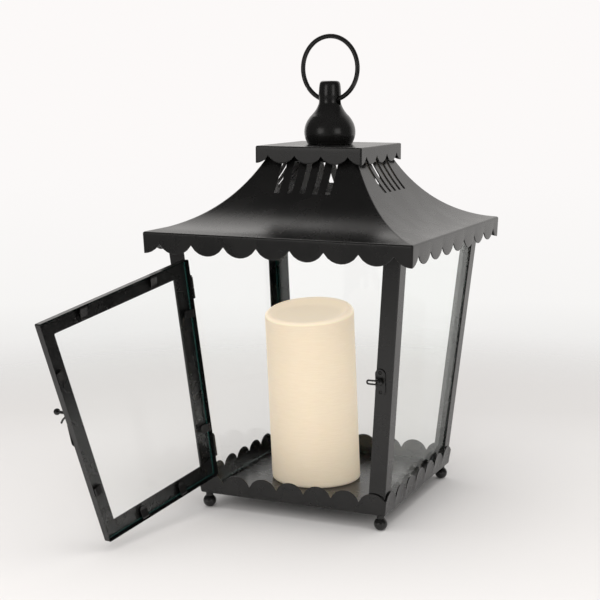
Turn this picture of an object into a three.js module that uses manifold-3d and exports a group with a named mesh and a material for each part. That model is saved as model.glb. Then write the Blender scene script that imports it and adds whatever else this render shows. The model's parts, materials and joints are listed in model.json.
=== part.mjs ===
// A square metal candle lantern with a pagoda roof, scalloped edges, three fixed glass panes
// and a hinged glass door that stands open. Millimetres, +Z up, the origin on the ground
// under the middle of the body; the door is in the -Y face and its hinges are on the -X side.

import * as THREE from "three";
import { mergeVertices } from "three/addons/utils/BufferGeometryUtils.js";
import Module from "manifold-3d";

const wasm = await Module();
wasm.setup();

// ---- driving dimensions -------------------------------------------------------------------

const SHEET = 1.0; // thickness of the sheet metal
const GLASS = 2.0; // thickness of every pane
const GAP = 0.3; // clearance between pieces that touch
const TAPER = 0.09; // each wall leans out by this much per unit of height

const BASE_Z = 13.4; // underside of the tray
const BASE_HALF = 85; // half the width of the body at that height
const TRAY_TOP = 32.2; // tops of the tray's scallops
const TRAY_PITCH = 25.1;
const TRAY_ARC = 13.4;
const TRAY_PROUD = 0.5; // the tray's wall stands out from the nominal body face by this

const POST_INSET = 0.8; // the posts stand back from the nominal body face by this
const POST_FLANGE = 14.4;
const POST_TOP = 242;

const HEADER_BOTTOM = 233;
const HEADER_TOP = 242.3;
const HEADER_FLANGE = 8;

const EAVE_Z = 243.5;
const EAVE_HALF = 119;
const SKIRT_BOTTOM = 225.4;
const SKIRT_LEAN = 0.6;
const SKIRT_PITCH = 29.67;
const SKIRT_ARC = 17.3;
const ROOF_TOP = 311.4;
const PANEL_TOP = 310.1; // top edges of the roof's panels, under the crown plate
const PANEL_TOP_HALF = 37.8;

const VENT_COUNT = 5;
const VENT_PITCH = 11.65;
const VENT_WIDTH = 4.7;
const VENT_BOTTOM = 274.5;
const VENT_TOP = 300;

const CAP_TOP = 312.8;
const CAP_HALF = 48.5;
const CAP_BOTTOM = 298.1;
const CAP_PITCH = 24.27;
const CAP_ARC = 14.4;

const STUD_RADIUS = 3;
const RING_RADIUS = 27.3; // centre line of the carrying ring
const RING_WIRE = 2;
const RING_HOLE = 3.9;
const RING_HOLE_Z = 350.4;
const RING_TURN = THREE.MathUtils.degToRad(-8.3); // the ring's heading about +Z

const FOOT_OFFSET = 79.8;
const FOOT_RADIUS = 5.84;
const FOOT_PAD = 2; // radius of the flat under each ball foot

const DOOR_BOTTOM = 33.6;
const DOOR_TOP = 221.9;
const DOOR_BASE_HALF = 62.9; // half the door's width, carried down to BASE_Z
const DOOR_DEPTH = 5.95;
const DOOR_STILE = 15;
const DOOR_RAIL = 14.2;
const DOOR_OPEN = THREE.MathUtils.degToRad(105.45);
const HINGE_OFFSET = 3.8; // hinge line to the door's edge
const HINGE_HEIGHTS = { lower: 58, upper: 196 };

const LATCH_Z = 128.5;
const LATCH_INSET = 4.5; // the latch's middle from the door's edge
const PLATE_LENGTH = 22.5;
const PLATE_WIDTH = 8.5;
const PLATE_THICK = 0.8;
const RIVET_SPACING = 8.2; // plate centre to each rivet
const RIVET_HEIGHTS = [-RIVET_SPACING, 0, RIVET_SPACING];
const SHANK_RADIUS = 1.1;

const CANDLE_RADIUS = 39.6;
const CANDLE_CENTRE = [-10.8, -4.3];
const CANDLE_HEIGHT = 152.4; // mean height of the rim above the candle's foot
const CANDLE_LEAN = -0.0456; // sideways drift of the candle per unit of height
const CANDLE_RIM_RISE = 0.165; // the rim climbs towards the back by this much per unit
const CASE_RADIUS = 32.5;
const CASE_HEIGHT = 19;

// ---- materials ----------------------------------------------------------------------------

const BLACK = { color: 0x242426, roughness: 0.42, metalness: 0.35 };
const BLACK_TRIM = { color: 0x1c1b1a, roughness: 0.36, metalness: 0.4 };
const CLEAR = { color: 0xdfe9e6, roughness: 0.03, metalness: 0, transparent: true, opacity: 0.25 };
const WAX = { color: 0xe9dcc0, roughness: 0.55, metalness: 0 };
const IVORY_PLASTIC = { color: 0xe6d9bd, roughness: 0.4, metalness: 0 };
const STEEL = { color: 0x9c9b98, roughness: 0.35, metalness: 0.9 };
const CELL = { color: 0x3c4a3f, roughness: 0.4, metalness: 0.3 };

const lantern = new THREE.Group();

function add(name, geometry, finish, parent = lantern) {
  const mesh = new THREE.Mesh(geometry, new THREE.MeshStandardMaterial(finish));
  mesh.name = name;
  parent.add(mesh);
  return mesh;
}

function group(parent, position = [0, 0, 0], rotation = [0, 0, 0]) {
  const child = new THREE.Group();
  child.position.set(...position);
  child.rotation.set(...rotation);
  parent.add(child);
  return child;
}

// ---- solids: join and cut -----------------------------------------------------------------

function solid(geometry) {
  const bare = geometry.clone();
  bare.deleteAttribute("normal");
  bare.deleteAttribute("uv");
  const merged = mergeVertices(bare, 1e-4);
  const corners = Array.from(merged.index.array);
  const kept = [];
  for (let i = 0; i < corners.length; i += 3) {
    const [a, b, c] = corners.slice(i, i + 3);
    if (a !== b && b !== c && c !== a) kept.push(a, b, c);
  }
  return new wasm.Manifold(new wasm.Mesh({
    numProp: 3,
    vertProperties: new Float32Array(merged.attributes.position.array),
    triVerts: new Uint32Array(kept),
  }));
}

function geometryOf(body) {
  const mesh = body.getMesh();
  const geometry = new THREE.BufferGeometry();
  geometry.setAttribute("position", new THREE.BufferAttribute(mesh.vertProperties, 3));
  geometry.setIndex(new THREE.BufferAttribute(mesh.triVerts, 1));
  return geometry;
}

function join(...geometries) {
  return geometryOf(geometries.map(solid).reduce((whole, next) => whole.add(next)));
}

function cut(geometry, ...cutters) {
  return geometryOf(cutters.map(solid).reduce((rest, next) => rest.subtract(next), solid(geometry)));
}

function overlap(geometry, other) {
  return geometryOf(solid(geometry).intersect(solid(other)));
}

// ---- shapes -------------------------------------------------------------------------------

function bodyHalf(z) {
  return BASE_HALF + TAPER * (z - BASE_Z);
}

function block(x0, x1, y0, y1, z0, z1) {
  const geometry = new THREE.BoxGeometry(x1 - x0, y1 - y0, z1 - z0);
  return geometry.translate((x0 + x1) / 2, (y0 + y1) / 2, (z0 + z1) / 2);
}

// A round rod along X, Y or Z from one end to the other.
function rod(axis, radius, from, to, sides = 16) {
  const geometry = new THREE.CylinderGeometry(radius, radius, to - from, sides);
  if (axis === "x") geometry.rotateZ(Math.PI / 2);
  if (axis === "z") geometry.rotateX(Math.PI / 2);
  const middle = (from + to) / 2;
  return geometry.translate(...["x", "y", "z"].map((name) => (name === axis ? middle : 0)));
}

// A profile of [half width, height] turned about Z: round, or square in plan with four sides.
function turned(profile, sides = 24) {
  const points = profile.map(([r, z]) => new THREE.Vector2(r, z));
  return new THREE.LatheGeometry(points, sides).rotateX(Math.PI / 2);
}

function square(profile) {
  const corner = profile.map(([half, z]) => [half * Math.SQRT2, z]);
  return turned(corner, 4).rotateZ(Math.PI / 4);
}

function outline(points) {
  return new THREE.Shape(points.map(([x, z]) => new THREE.Vector2(x, z)));
}

// A flat plate drawn in X and Z, from y to y + thickness.
function plate(shape, y, thickness, curveSegments = 6) {
  const settings = { depth: thickness, bevelEnabled: false, curveSegments };
  const geometry = new THREE.ExtrudeGeometry(shape, settings);
  return geometry.rotateX(Math.PI / 2).translate(0, y + thickness, 0);
}

// Two parallel sides with round ends, standing along Z.
function oblong(width, length) {
  const r = width / 2;
  const straight = length / 2 - r;
  const shape = new THREE.Shape();
  shape.absarc(0, straight, r, 0, Math.PI, false);
  shape.absarc(0, -straight, r, Math.PI, 2 * Math.PI, false);
  shape.closePath();
  return shape;
}

// The space beyond a row of scallops: arcs side by side whose crowns touch crownZ, with the
// row centred on a whole arc. up is 1 where the crowns point up and -1 where they hang down.
function scallopSpace(reach, pitch, radius, crownZ, up) {
  const stepsPerArc = 6;
  const count = Math.ceil(reach / pitch);
  const halfAngle = Math.asin(pitch / 2 / radius);
  const points = [];
  for (let n = -count; n <= count; n += 1) {
    for (let i = 0; i < stepsPerArc; i += 1) {
      const angle = halfAngle * ((2 * i) / stepsPerArc - 1);
      points.push([n * pitch + radius * Math.sin(angle), crownZ - up * radius * (1 - Math.cos(angle))]);
    }
  }
  const far = crownZ + up * 10;
  const edge = points[0][0];
  points.push([-edge, points[0][1]], [-edge, far], [edge, far]);
  return outline(up > 0 ? points : points.reverse());
}

function rivetHole(y0, y1) {
  return rod("y", SHANK_RADIUS + GAP, y0, y1, 10);
}

// One side of a bent tube or wire: a round section swept along a curve.
function wire(curve, radius, steps) {
  const section = new THREE.Shape();
  section.absarc(0, 0, radius, 0, 2 * Math.PI, false);
  return new THREE.ExtrudeGeometry(section, { steps, extrudePath: curve, curveSegments: 4 });
}

// ---- the tray and its feet ----------------------------------------------------------------

function tray() {
  const outer = (z) => bodyHalf(z) + TRAY_PROUD;
  const top = TRAY_TOP + 1;
  const floorTop = BASE_Z + SHEET;
  const pan = square([
    [0, BASE_Z],
    [outer(BASE_Z), BASE_Z],
    [outer(top), top],
    [outer(top) - SHEET, top],
    [outer(floorTop) - SHEET, floorTop],
    [0, floorTop],
  ]);
  const wallOuter = outer(top) + 1;
  const wallInner = outer(BASE_Z + 8) - SHEET - GAP;
  const shape = scallopSpace(wallOuter, TRAY_PITCH, TRAY_ARC, TRAY_TOP, 1);
  const cutters = [];
  for (let side = 0; side < 4; side += 1) {
    cutters.push(plate(shape, -wallOuter, wallOuter - wallInner).rotateZ((side * Math.PI) / 2));
  }
  for (const [x, y] of corners(FOOT_OFFSET)) {
    cutters.push(rod("z", 2.2, BASE_Z - 1, floorTop + 1, 12).translate(x, y, 0));
  }
  return cut(pan, ...cutters);
}

function corners(offset) {
  return [[-offset, -offset], [offset, -offset], [offset, offset], [-offset, offset]];
}

const CORNER_NAMES = ["front_left", "front_right", "back_right", "back_left"];
const STEM_RADIUS = 1.9;
const STEM_TOP = BASE_Z + SHEET; // peened flush with the tray's floor

function foot() {
  const centre = Math.sqrt(FOOT_RADIUS ** 2 - FOOT_PAD ** 2);
  const collar = 3.2;
  const collarTop = BASE_Z - GAP;
  const low = Math.asin(-centre / FOOT_RADIUS);
  const high = Math.acos(collar / FOOT_RADIUS);
  const profile = [[0, 0]];
  const steps = 6;
  for (let i = 0; i <= steps; i += 1) {
    const angle = low + ((high - low) * i) / steps;
    profile.push([FOOT_RADIUS * Math.cos(angle), centre + FOOT_RADIUS * Math.sin(angle)]);
  }
  profile.push([collar, collarTop], [STEM_RADIUS, collarTop], [STEM_RADIUS, STEM_TOP], [0, STEM_TOP]);
  return turned(profile, 14);
}

add("tray", tray(), BLACK);
corners(FOOT_OFFSET).forEach(([x, y], i) => {
  add(`foot_${CORNER_NAMES[i]}`, foot(), BLACK_TRIM, group(lantern, [x, y, 0]));
});

// ---- posts and header ---------------------------------------------------------------------

function post() {
  const bottom = BASE_Z + SHEET + GAP;
  const w = POST_FLANGE;
  const section = outline([[0, 0], [w, 0], [w, SHEET], [SHEET, SHEET], [SHEET, w], [0, w]]);
  const straight = new THREE.ExtrudeGeometry(section, { depth: POST_TOP - bottom, bevelEnabled: false });
  const lean = new THREE.Matrix4().set(
    1, 0, -TAPER, 0,
    0, 1, -TAPER, 0,
    0, 0, 1, 0,
    0, 0, 0, 1,
  );
  const corner = bodyHalf(bottom) - POST_INSET;
  return straight.applyMatrix4(lean).translate(-corner, -corner, bottom);
}

// A square ring of angle behind the tops of the posts, its upper flange turned inwards.
function header() {
  const outer = (z) => bodyHalf(z) - POST_INSET - SHEET - GAP;
  const bottom = HEADER_BOTTOM;
  const top = HEADER_TOP;
  return square([
    [outer(bottom) - SHEET, bottom],
    [outer(bottom), bottom],
    [outer(top), top],
    [outer(top) - HEADER_FLANGE, top],
    [outer(top) - HEADER_FLANGE, top - SHEET],
    [outer(top - SHEET) - SHEET, top - SHEET],
    [outer(bottom) - SHEET, bottom],
  ]);
}

CORNER_NAMES.forEach((name, i) => {
  add(`post_${name}`, post().rotateZ((i * Math.PI) / 2), BLACK);
});
add("header_frame", header(), BLACK);

// ---- roof and cap -------------------------------------------------------------------------

// Points of the roof's hollow curve, from the crown down to the eave, moved in by an offset.
function roofCurve(offset) {
  const curve = new THREE.CubicBezierCurve(
    new THREE.Vector2(39.5, 306.4),
    new THREE.Vector2(56.1, 273.2),
    new THREE.Vector2(81.5, 248.1),
    new THREE.Vector2(EAVE_HALF, EAVE_Z),
  );
  const steps = 9;
  return curve.getPoints(steps).map((p, i) => {
    const along = curve.getTangent(i / steps);
    return [p.x + along.y * offset, p.y - along.x * offset];
  });
}

// The four roof panels as one shell, open at the crown.
function roofShell() {
  const skirtFoot = EAVE_HALF - SKIRT_LEAN;
  const shell = square([
    [PANEL_TOP_HALF, PANEL_TOP],
    [PANEL_TOP_HALF - SHEET, PANEL_TOP],
    ...roofCurve(SHEET).slice(0, -1),
    [EAVE_HALF - SHEET, EAVE_Z - SHEET],
    [skirtFoot - SHEET, SKIRT_BOTTOM],
    [skirtFoot, SKIRT_BOTTOM],
    ...roofCurve(0).reverse(),
    [PANEL_TOP_HALF, PANEL_TOP],
  ]);
  const reach = EAVE_HALF + 2;
  const lobes = plate(scallopSpace(reach, SKIRT_PITCH, SKIRT_ARC, SKIRT_BOTTOM, -1), -reach, 2 * reach);
  const cutters = [lobes, lobes.clone().rotateZ(Math.PI / 2)];
  const ventReach = EAVE_HALF / 2 + 10;
  for (let i = 0; i < VENT_COUNT; i += 1) {
    const x = (i - (VENT_COUNT - 1) / 2) * VENT_PITCH;
    const [x0, x1] = [x - VENT_WIDTH / 2, x + VENT_WIDTH / 2];
    const slot = block(x0, x1, -ventReach, ventReach, VENT_BOTTOM, VENT_TOP);
    cutters.push(slot, slot.clone().rotateZ(Math.PI / 2));
  }
  return cut(shell, ...cutters);
}

// The part of the shell over the -Y side, mitred along both hips.
function roofPanel(shell) {
  const far = EAVE_HALF + 10;
  const half = GAP / Math.SQRT2;
  const wedge = outline([[0, -half], [-far, -far - half], [far, -far - half]]);
  const depth = ROOF_TOP - SKIRT_BOTTOM + 20;
  const side = new THREE.ExtrudeGeometry(wedge, { depth, bevelEnabled: false });
  return overlap(shell, side.translate(0, 0, SKIRT_BOTTOM - 10));
}

// The flat plate that closes the top of the roof and carries the stud.
function roofCrown() {
  const bottom = ROOF_TOP - SHEET;
  const half = PANEL_TOP_HALF;
  const crown = block(-half, half, -half, half, bottom, ROOF_TOP);
  return cut(crown, rod("z", STUD_RADIUS + GAP, bottom - 1, ROOF_TOP + 1));
}

function cap() {
  const shell = square([
    [0, CAP_TOP - SHEET],
    [CAP_HALF - SHEET, CAP_TOP - SHEET],
    [CAP_HALF - SHEET, CAP_BOTTOM],
    [CAP_HALF, CAP_BOTTOM],
    [CAP_HALF, CAP_TOP],
    [0, CAP_TOP],
  ]);
  const reach = CAP_HALF + 2;
  const lobes = plate(scallopSpace(reach, CAP_PITCH, CAP_ARC, CAP_BOTTOM, -1), -reach, 2 * reach);
  const hole = rod("z", STUD_RADIUS + GAP, CAP_TOP - 3, CAP_TOP + 1);
  return cut(shell, lobes, lobes.clone().rotateZ(Math.PI / 2), hole);
}

const shell = roofShell();
["front", "right", "back", "left"].forEach((name, i) => {
  add(`roof_panel_${name}`, roofPanel(shell).rotateZ((i * Math.PI) / 2), BLACK);
});
add("roof_crown", roofCrown(), BLACK);
add("cap", cap(), BLACK);

// ---- finial, its stud and the carrying ring -------------------------------------------------

const FINIAL_FOOT = CAP_TOP + GAP;
const FINIAL_TOP = 367.2;
const FINIAL_FOOT_RADIUS = 19.4;
const STUD_BOTTOM = 302;

// The cast finial, bored across for the ring, with the stud that holds it below.
function finial() {
  const curve = new THREE.SplineCurve([
    [19.9, FINIAL_FOOT + 0.6],
    [22.1, 321.5],
    [21.6, 328],
    [17.4, 336],
    [12.3, 342.1],
    [9.35, 348.4],
    [9.7, 355],
    [9.1, 363.5],
    [6.8, FINIAL_TOP],
  ].map(([r, z]) => new THREE.Vector2(r, z)));
  const side = curve.getPoints(16).map((p) => [p.x, Math.min(p.y, FINIAL_TOP)]);
  const profile = [[0, FINIAL_FOOT], [FINIAL_FOOT_RADIUS, FINIAL_FOOT], ...side, [0, FINIAL_TOP]];
  const body = join(turned(profile, 24), rod("z", STUD_RADIUS, STUD_BOTTOM, FINIAL_FOOT + 3));
  const hole = rod("x", RING_HOLE, -20, 20, 14);
  return cut(body, hole.rotateZ(RING_TURN).translate(0, 0, RING_HOLE_Z));
}

// A hexagon nut with a round flange, screwed up against the crown plate.
function flangedNut() {
  const top = ROOF_TOP - SHEET - GAP;
  const flangeFoot = top - 1.2;
  const body = join(rod("z", 8, flangeFoot, top, 20), rod("z", 5.8, top - 6.5, flangeFoot + 0.5, 6));
  return cut(body, rod("z", STUD_RADIUS + GAP, top - 8, top + 1));
}

add("finial", finial(), BLACK_TRIM);
add("stud_nut", flangedNut(), STEEL);

const ringPlace = group(lantern, [0, 0, RING_HOLE_Z], [0, 0, RING_TURN]);
const ringShape = new THREE.TorusGeometry(RING_RADIUS, RING_WIRE, 8, 40);
add("carry_ring", ringShape.rotateX(Math.PI / 2).translate(0, 0, RING_RADIUS), BLACK_TRIM, ringPlace);

// ---- the four faces -------------------------------------------------------------------------
// In a face's own frame x runs along the face, z up its slope from BASE_Z and y inwards;
// y = 0 is the nominal face, where the half width grows by SLANT per unit of z.

const TILT = Math.atan(TAPER);
const SLANT = TAPER * Math.cos(TILT);

function face(index) {
  const turn = group(lantern, [0, 0, 0], [0, 0, (index * Math.PI) / 2]);
  return group(turn, [0, -BASE_HALF, BASE_Z], [TILT, 0, 0]);
}

function slope(z) {
  return (z - BASE_Z) / Math.cos(TILT);
}

// A board with slanting sides between two heights, inset from the line half + SLANT * z.
function board(half, z0, z1, sideInset = 0, endInset = 0) {
  const low = z0 + endInset;
  const high = z1 - endInset;
  const halfAt = (z) => half + SLANT * z - sideInset;
  return [[-halfAt(low), low], [halfAt(low), low], [halfAt(high), high], [-halfAt(high), high]];
}

const frontFace = face(0);
const PANE_Y = POST_INSET + SHEET + GAP;
const PANE_BOTTOM = slope(BASE_Z + SHEET + GAP) + 0.3;
const PANE_TOP = slope(HEADER_BOTTOM - GAP) - 0.4;
const PANES = [["right", 1, 2.5], ["back", 2, 4.7], ["left", 3, 2.5]];
const PANE_CLIP_X = 45;
const CLIP_SHEET = 0.7;
const CLIP_WIDTH = 10;

// A spring tab hung from the header that presses on the top of a pane.
function paneClip() {
  const behindHeader = PANE_Y + SHEET + GAP;
  const behindGlass = PANE_Y + GLASS + GAP;
  const bottom = PANE_TOP - 8;
  const top = slope(HEADER_TOP - SHEET) - GAP - 0.4;
  const shape = outline([
    [behindGlass, bottom],
    [behindGlass + CLIP_SHEET, bottom],
    [behindGlass + CLIP_SHEET, PANE_TOP],
    [behindHeader + CLIP_SHEET, PANE_TOP + 2],
    [behindHeader + CLIP_SHEET, top],
    [behindHeader, top],
    [behindHeader, PANE_TOP + 1.6],
    [behindGlass, PANE_TOP - 0.4],
  ]);
  return plate(shape, 0, CLIP_WIDTH).translate(0, -CLIP_WIDTH / 2, 0).rotateZ(Math.PI / 2);
}

for (const [name, index, inset] of PANES) {
  const wall = face(index);
  const shape = outline(board(BASE_HALF, PANE_BOTTOM, PANE_TOP, inset));
  add(`glass_${name}`, plate(shape, PANE_Y, GLASS), CLEAR, wall);
  for (const [end, x] of [["a", -PANE_CLIP_X], ["b", PANE_CLIP_X]]) {
    add(`pane_clip_${name}_${end}`, paneClip(), BLACK_TRIM, group(wall, [x, 0, 0]));
  }
}

// ---- the door -------------------------------------------------------------------------------

const DOOR_Y = -TRAY_PROUD;
const DOOR_Z0 = slope(DOOR_BOTTOM);
const DOOR_Z1 = slope(DOOR_TOP);
const HINGE_AXIS = new THREE.Vector3(-SLANT, 0, 1).normalize();
const LATCH_RISE = slope(LATCH_Z);
const LATCH_X = DOOR_BASE_HALF + SLANT * LATCH_RISE - LATCH_INSET;

// Everything inside doorFrame is drawn as if the door were shut.
const hingeFoot = new THREE.Vector3(-DOOR_BASE_HALF - HINGE_OFFSET, 0, 0);
const doorTurn = group(frontFace, hingeFoot.toArray());
doorTurn.quaternion.setFromAxisAngle(HINGE_AXIS, -DOOR_OPEN);
const door = group(doorTurn, hingeFoot.clone().negate().toArray());

function doorFrame() {
  const sheet = outline(board(DOOR_BASE_HALF, DOOR_Z0, DOOR_Z1));
  const sight = board(DOOR_BASE_HALF, DOOR_Z0, DOOR_Z1, DOOR_STILE, DOOR_RAIL);
  sheet.holes.push(outline(sight));
  const rim = outline(board(DOOR_BASE_HALF, DOOR_Z0, DOOR_Z1));
  rim.holes.push(outline(board(DOOR_BASE_HALF, DOOR_Z0, DOOR_Z1, SHEET, SHEET)));
  const frame = join(plate(sheet, DOOR_Y, SHEET), plate(rim, DOOR_Y, DOOR_DEPTH));
  const holes = RIVET_HEIGHTS.map((z) => rivetHole(-3, 3).translate(LATCH_X, 0, LATCH_RISE + z));
  return cut(frame, ...holes);
}

const DOOR_GLASS_Y = DOOR_Y + SHEET + GAP;
const doorGlassInset = SHEET + GAP + 0.2;
const doorGlass = outline(board(DOOR_BASE_HALF, DOOR_Z0, DOOR_Z1, doorGlassInset, doorGlassInset));

add("door_frame", doorFrame(), BLACK, door);
add("door_glass", plate(doorGlass, DOOR_GLASS_Y, GLASS), CLEAR, door);

// A bent tab that holds the glass down: it stands on the rim and slopes down to a tip on the
// glass. Its own frame has the rim at x = 0, the glass towards -x and the edge along z.
const TAB_REACH = 10.5;
const TAB_WIDTH = 7;

function tab() {
  const low = DOOR_GLASS_Y + GLASS + GAP;
  const high = DOOR_Y + DOOR_DEPTH - 0.2;
  const shape = outline([
    [-GAP, low],
    [-GAP, high],
    [-1.6, high],
    [2.2 - TAB_REACH, low + CLIP_SHEET],
    [-TAB_REACH, low + CLIP_SHEET],
    [-TAB_REACH, low],
    [2.4 - TAB_REACH, low],
    [-GAP - CLIP_SHEET - 0.5, high - CLIP_SHEET],
    [-GAP - CLIP_SHEET, high - CLIP_SHEET - 0.2],
    [-GAP - CLIP_SHEET, low],
  ]);
  const geometry = new THREE.ExtrudeGeometry(shape, { depth: TAB_WIDTH, bevelEnabled: false });
  return geometry.translate(0, 0, -TAB_WIDTH / 2);
}

const stileTurn = Math.atan(SLANT);
const stileX = (z) => DOOR_BASE_HALF + SLANT * z - SHEET;
const [clipLow, clipHigh] = [slope(77.3), slope(176.5)];
const CLIPS = [
  ["top_left", -40, DOOR_Z1 - SHEET, -Math.PI / 2],
  ["top_right", 37, DOOR_Z1 - SHEET, -Math.PI / 2],
  ["bottom_left", -22.7, DOOR_Z0 + SHEET, Math.PI / 2],
  ["bottom_right", 22.7, DOOR_Z0 + SHEET, Math.PI / 2],
  ["latch_low", stileX(clipLow), clipLow, stileTurn],
  ["latch_high", stileX(clipHigh), clipHigh, stileTurn],
  ["hinge_low", -stileX(clipLow), clipLow, Math.PI - stileTurn],
  ["hinge_high", -stileX(clipHigh), clipHigh, Math.PI - stileTurn],
];
for (const [name, x, z, turn] of CLIPS) {
  add(`door_clip_${name}`, tab(), BLACK_TRIM, group(door, [x, 0, z], [0, turn, 0]));
}

// ---- hinges ---------------------------------------------------------------------------------
// Knuckle hinges on the hinge line; their frame has z along the line and x towards the door.

const KNUCKLE_RADIUS = 2.4;
const KNUCKLE_LENGTH = 9;
const PIN_RADIUS = 0.9;
const LEAF = 0.8;

function knuckle(z0, leaf) {
  const z1 = z0 + KNUCKLE_LENGTH;
  const barrel = rod("z", KNUCKLE_RADIUS, z0, z1, 16);
  const bore = rod("z", PIN_RADIUS + GAP, z0 - 1, z1 + 1, 12);
  return cut(join(barrel, leaf), bore);
}

function postLeaf(z0) {
  const y0 = PANE_Y;
  return block(-11.5, 0, y0, y0 + LEAF, z0, z0 + KNUCKLE_LENGTH);
}

function doorLeaf(z0) {
  const x1 = HINGE_OFFSET * Math.cos(stileTurn) - GAP;
  return block(x1 - 1.3, x1, -0.4, DOOR_Y + DOOR_DEPTH - 0.6, z0, z0 + KNUCKLE_LENGTH);
}

function hingePin() {
  const top = KNUCKLE_LENGTH + GAP;
  const head = rod("z", 2, top + GAP, top + 1.4, 12);
  return join(head, rod("z", PIN_RADIUS, -KNUCKLE_LENGTH, top + 1, 12));
}

// A place on the hinge line of the post or the door, at a height above the ground.
function hingePlace(parent, height) {
  const line = group(parent, hingeFoot.toArray(), [0, -stileTurn, 0]);
  return group(line, [0, 0, slope(height) / Math.cos(stileTurn)]);
}

const LOW_KNUCKLE = -KNUCKLE_LENGTH - GAP / 2;
const HIGH_KNUCKLE = GAP / 2;
for (const [name, height] of Object.entries(HINGE_HEIGHTS)) {
  const onPost = hingePlace(frontFace, height);
  add(`hinge_${name}_post`, knuckle(LOW_KNUCKLE, postLeaf(LOW_KNUCKLE)), BLACK_TRIM, onPost);
  add(`hinge_${name}_pin`, hingePin(), STEEL, onPost);
  const onDoor = hingePlace(door, height);
  add(`hinge_${name}_door`, knuckle(HIGH_KNUCKLE, doorLeaf(HIGH_KNUCKLE)), BLACK_TRIM, onDoor);
}

// ---- latch on the door and keeper on the post -------------------------------------------------

function rivetedPlate(y) {
  const holes = RIVET_HEIGHTS.map((z) => rivetHole(y - 1, y + 2).translate(0, 0, z));
  return cut(plate(oblong(PLATE_WIDTH, PLATE_LENGTH), y, PLATE_THICK), ...holes);
}

// A flat-topped rivet with its head outside y and its shank running in to shankEnd.
function rivet(headRadius, headHeight, y, shankEnd) {
  const head = turned([
    [0, -y],
    [headRadius, -y],
    [headRadius, headHeight * 0.45 - y],
    [headRadius * 0.65, headHeight - y],
    [0, headHeight - y],
  ], 12).rotateX(Math.PI / 2);
  return join(head, rod("y", SHANK_RADIUS, y - headHeight / 2, shankEnd, 8));
}

const latch = group(door, [LATCH_X, 0, LATCH_RISE]);
const LATCH_PLATE_Y = DOOR_Y - GAP - PLATE_THICK;
const ARM_THICK = 1.2;
const ARM_Y = LATCH_PLATE_Y - GAP - ARM_THICK;
const KNOB_Z = 15.7;
const KNOB_Y = -16.8;

function latchLever() {
  const arm = outline([[-2.6, -2.6], [2.6, -2.6], [2.2, 8], [1.6, 16], [-2.6, 17.4], [-2.4, 8]]);
  const hookCurve = new THREE.CatmullRomCurve3([
    new THREE.Vector3(0.7, ARM_Y + 0.9, 13.4),
    new THREE.Vector3(0.7, ARM_Y - 3, 12.6),
    new THREE.Vector3(0.7, -9.6, 10.4),
    new THREE.Vector3(0.7, -12.6, 7.2),
  ]);
  const knob = new THREE.SphereGeometry(2.7, 14, 8).translate(-1, KNOB_Y, KNOB_Z);
  const stem = rod("y", 1.3, KNOB_Y, ARM_Y + 0.6, 12).translate(-1, 0, KNOB_Z);
  const parts = [plate(arm, ARM_Y, ARM_THICK), wire(hookCurve, 0.75, 6), stem, knob];
  return cut(join(...parts), rivetHole(ARM_Y - 1, ARM_Y + 2));
}

add("latch_plate", rivetedPlate(LATCH_PLATE_Y), BLACK_TRIM, latch);
add("latch_lever", latchLever(), BLACK_TRIM, latch);
add("latch_pivot", rivet(2.4, 1.5, ARM_Y - GAP, DOOR_Y + SHEET - 0.1), BLACK_TRIM, latch);
for (const [name, z] of [["high", RIVET_SPACING], ["low", -RIVET_SPACING]]) {
  const shape = rivet(1.9, 0.25, LATCH_PLATE_Y - 0.02, DOOR_Y + SHEET - 0.1);
  add(`latch_rivet_${name}`, shape, STEEL, group(latch, [0, 0, z]));
}

const KEEPER_X = 84.4;
const KEEPER_Y = POST_INSET - GAP - PLATE_THICK;
const LOOP_Y = -4.3;
const LOOP_WIRE = 0.65;
const LOOP_RISE = 1; // the loop's middle above the plate's middle
const LOOP_END = 73.9;
const keeper = group(frontFace, [KEEPER_X, 0, LATCH_RISE]);

// A hairpin of wire that stands off the keeper plate and reaches towards the door.
function keeperLoop() {
  const half = 1.5;
  const left = LOOP_END - KEEPER_X + LOOP_WIRE + half;
  const bend = [60, 30, 0, -30, -60].map((degrees) => {
    const angle = THREE.MathUtils.degToRad(degrees);
    return new THREE.Vector3(left - half * Math.cos(angle), LOOP_Y, LOOP_RISE + half * Math.sin(angle));
  });
  const curve = new THREE.CatmullRomCurve3([
    new THREE.Vector3(-0.6, LOOP_Y + 1.2, LOOP_RISE + half),
    new THREE.Vector3(-3, LOOP_Y, LOOP_RISE + half),
    new THREE.Vector3(left, LOOP_Y, LOOP_RISE + half),
    ...bend,
    new THREE.Vector3(left, LOOP_Y, LOOP_RISE - half),
    new THREE.Vector3(-3, LOOP_Y, LOOP_RISE - half),
    new THREE.Vector3(-0.6, LOOP_Y + 1.2, LOOP_RISE - half),
  ]);
  const bossFoot = KEEPER_Y - GAP;
  const boss = turned([[0, 0], [2.9, 0], [2.9, 2.2], [2.2, 3.5], [1, 4.2], [0, 4.3]], 14);
  boss.rotateX(Math.PI / 2).translate(0, bossFoot, LOOP_RISE);
  return join(boss, wire(curve, LOOP_WIRE, 20));
}

add("keeper_plate", rivetedPlate(KEEPER_Y), BLACK_TRIM, keeper);
add("keeper_loop", keeperLoop(), BLACK_TRIM, keeper);
for (const [name, z] of [["high", RIVET_SPACING], ["low", -RIVET_SPACING]]) {
  const shape = rivet(1.9, 0.5, KEEPER_Y - GAP, POST_INSET - GAP / 2);
  add(`keeper_rivet_${name}`, shape, STEEL, group(keeper, [0, 0, z]));
}

// ---- the candle -------------------------------------------------------------------------------

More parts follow.
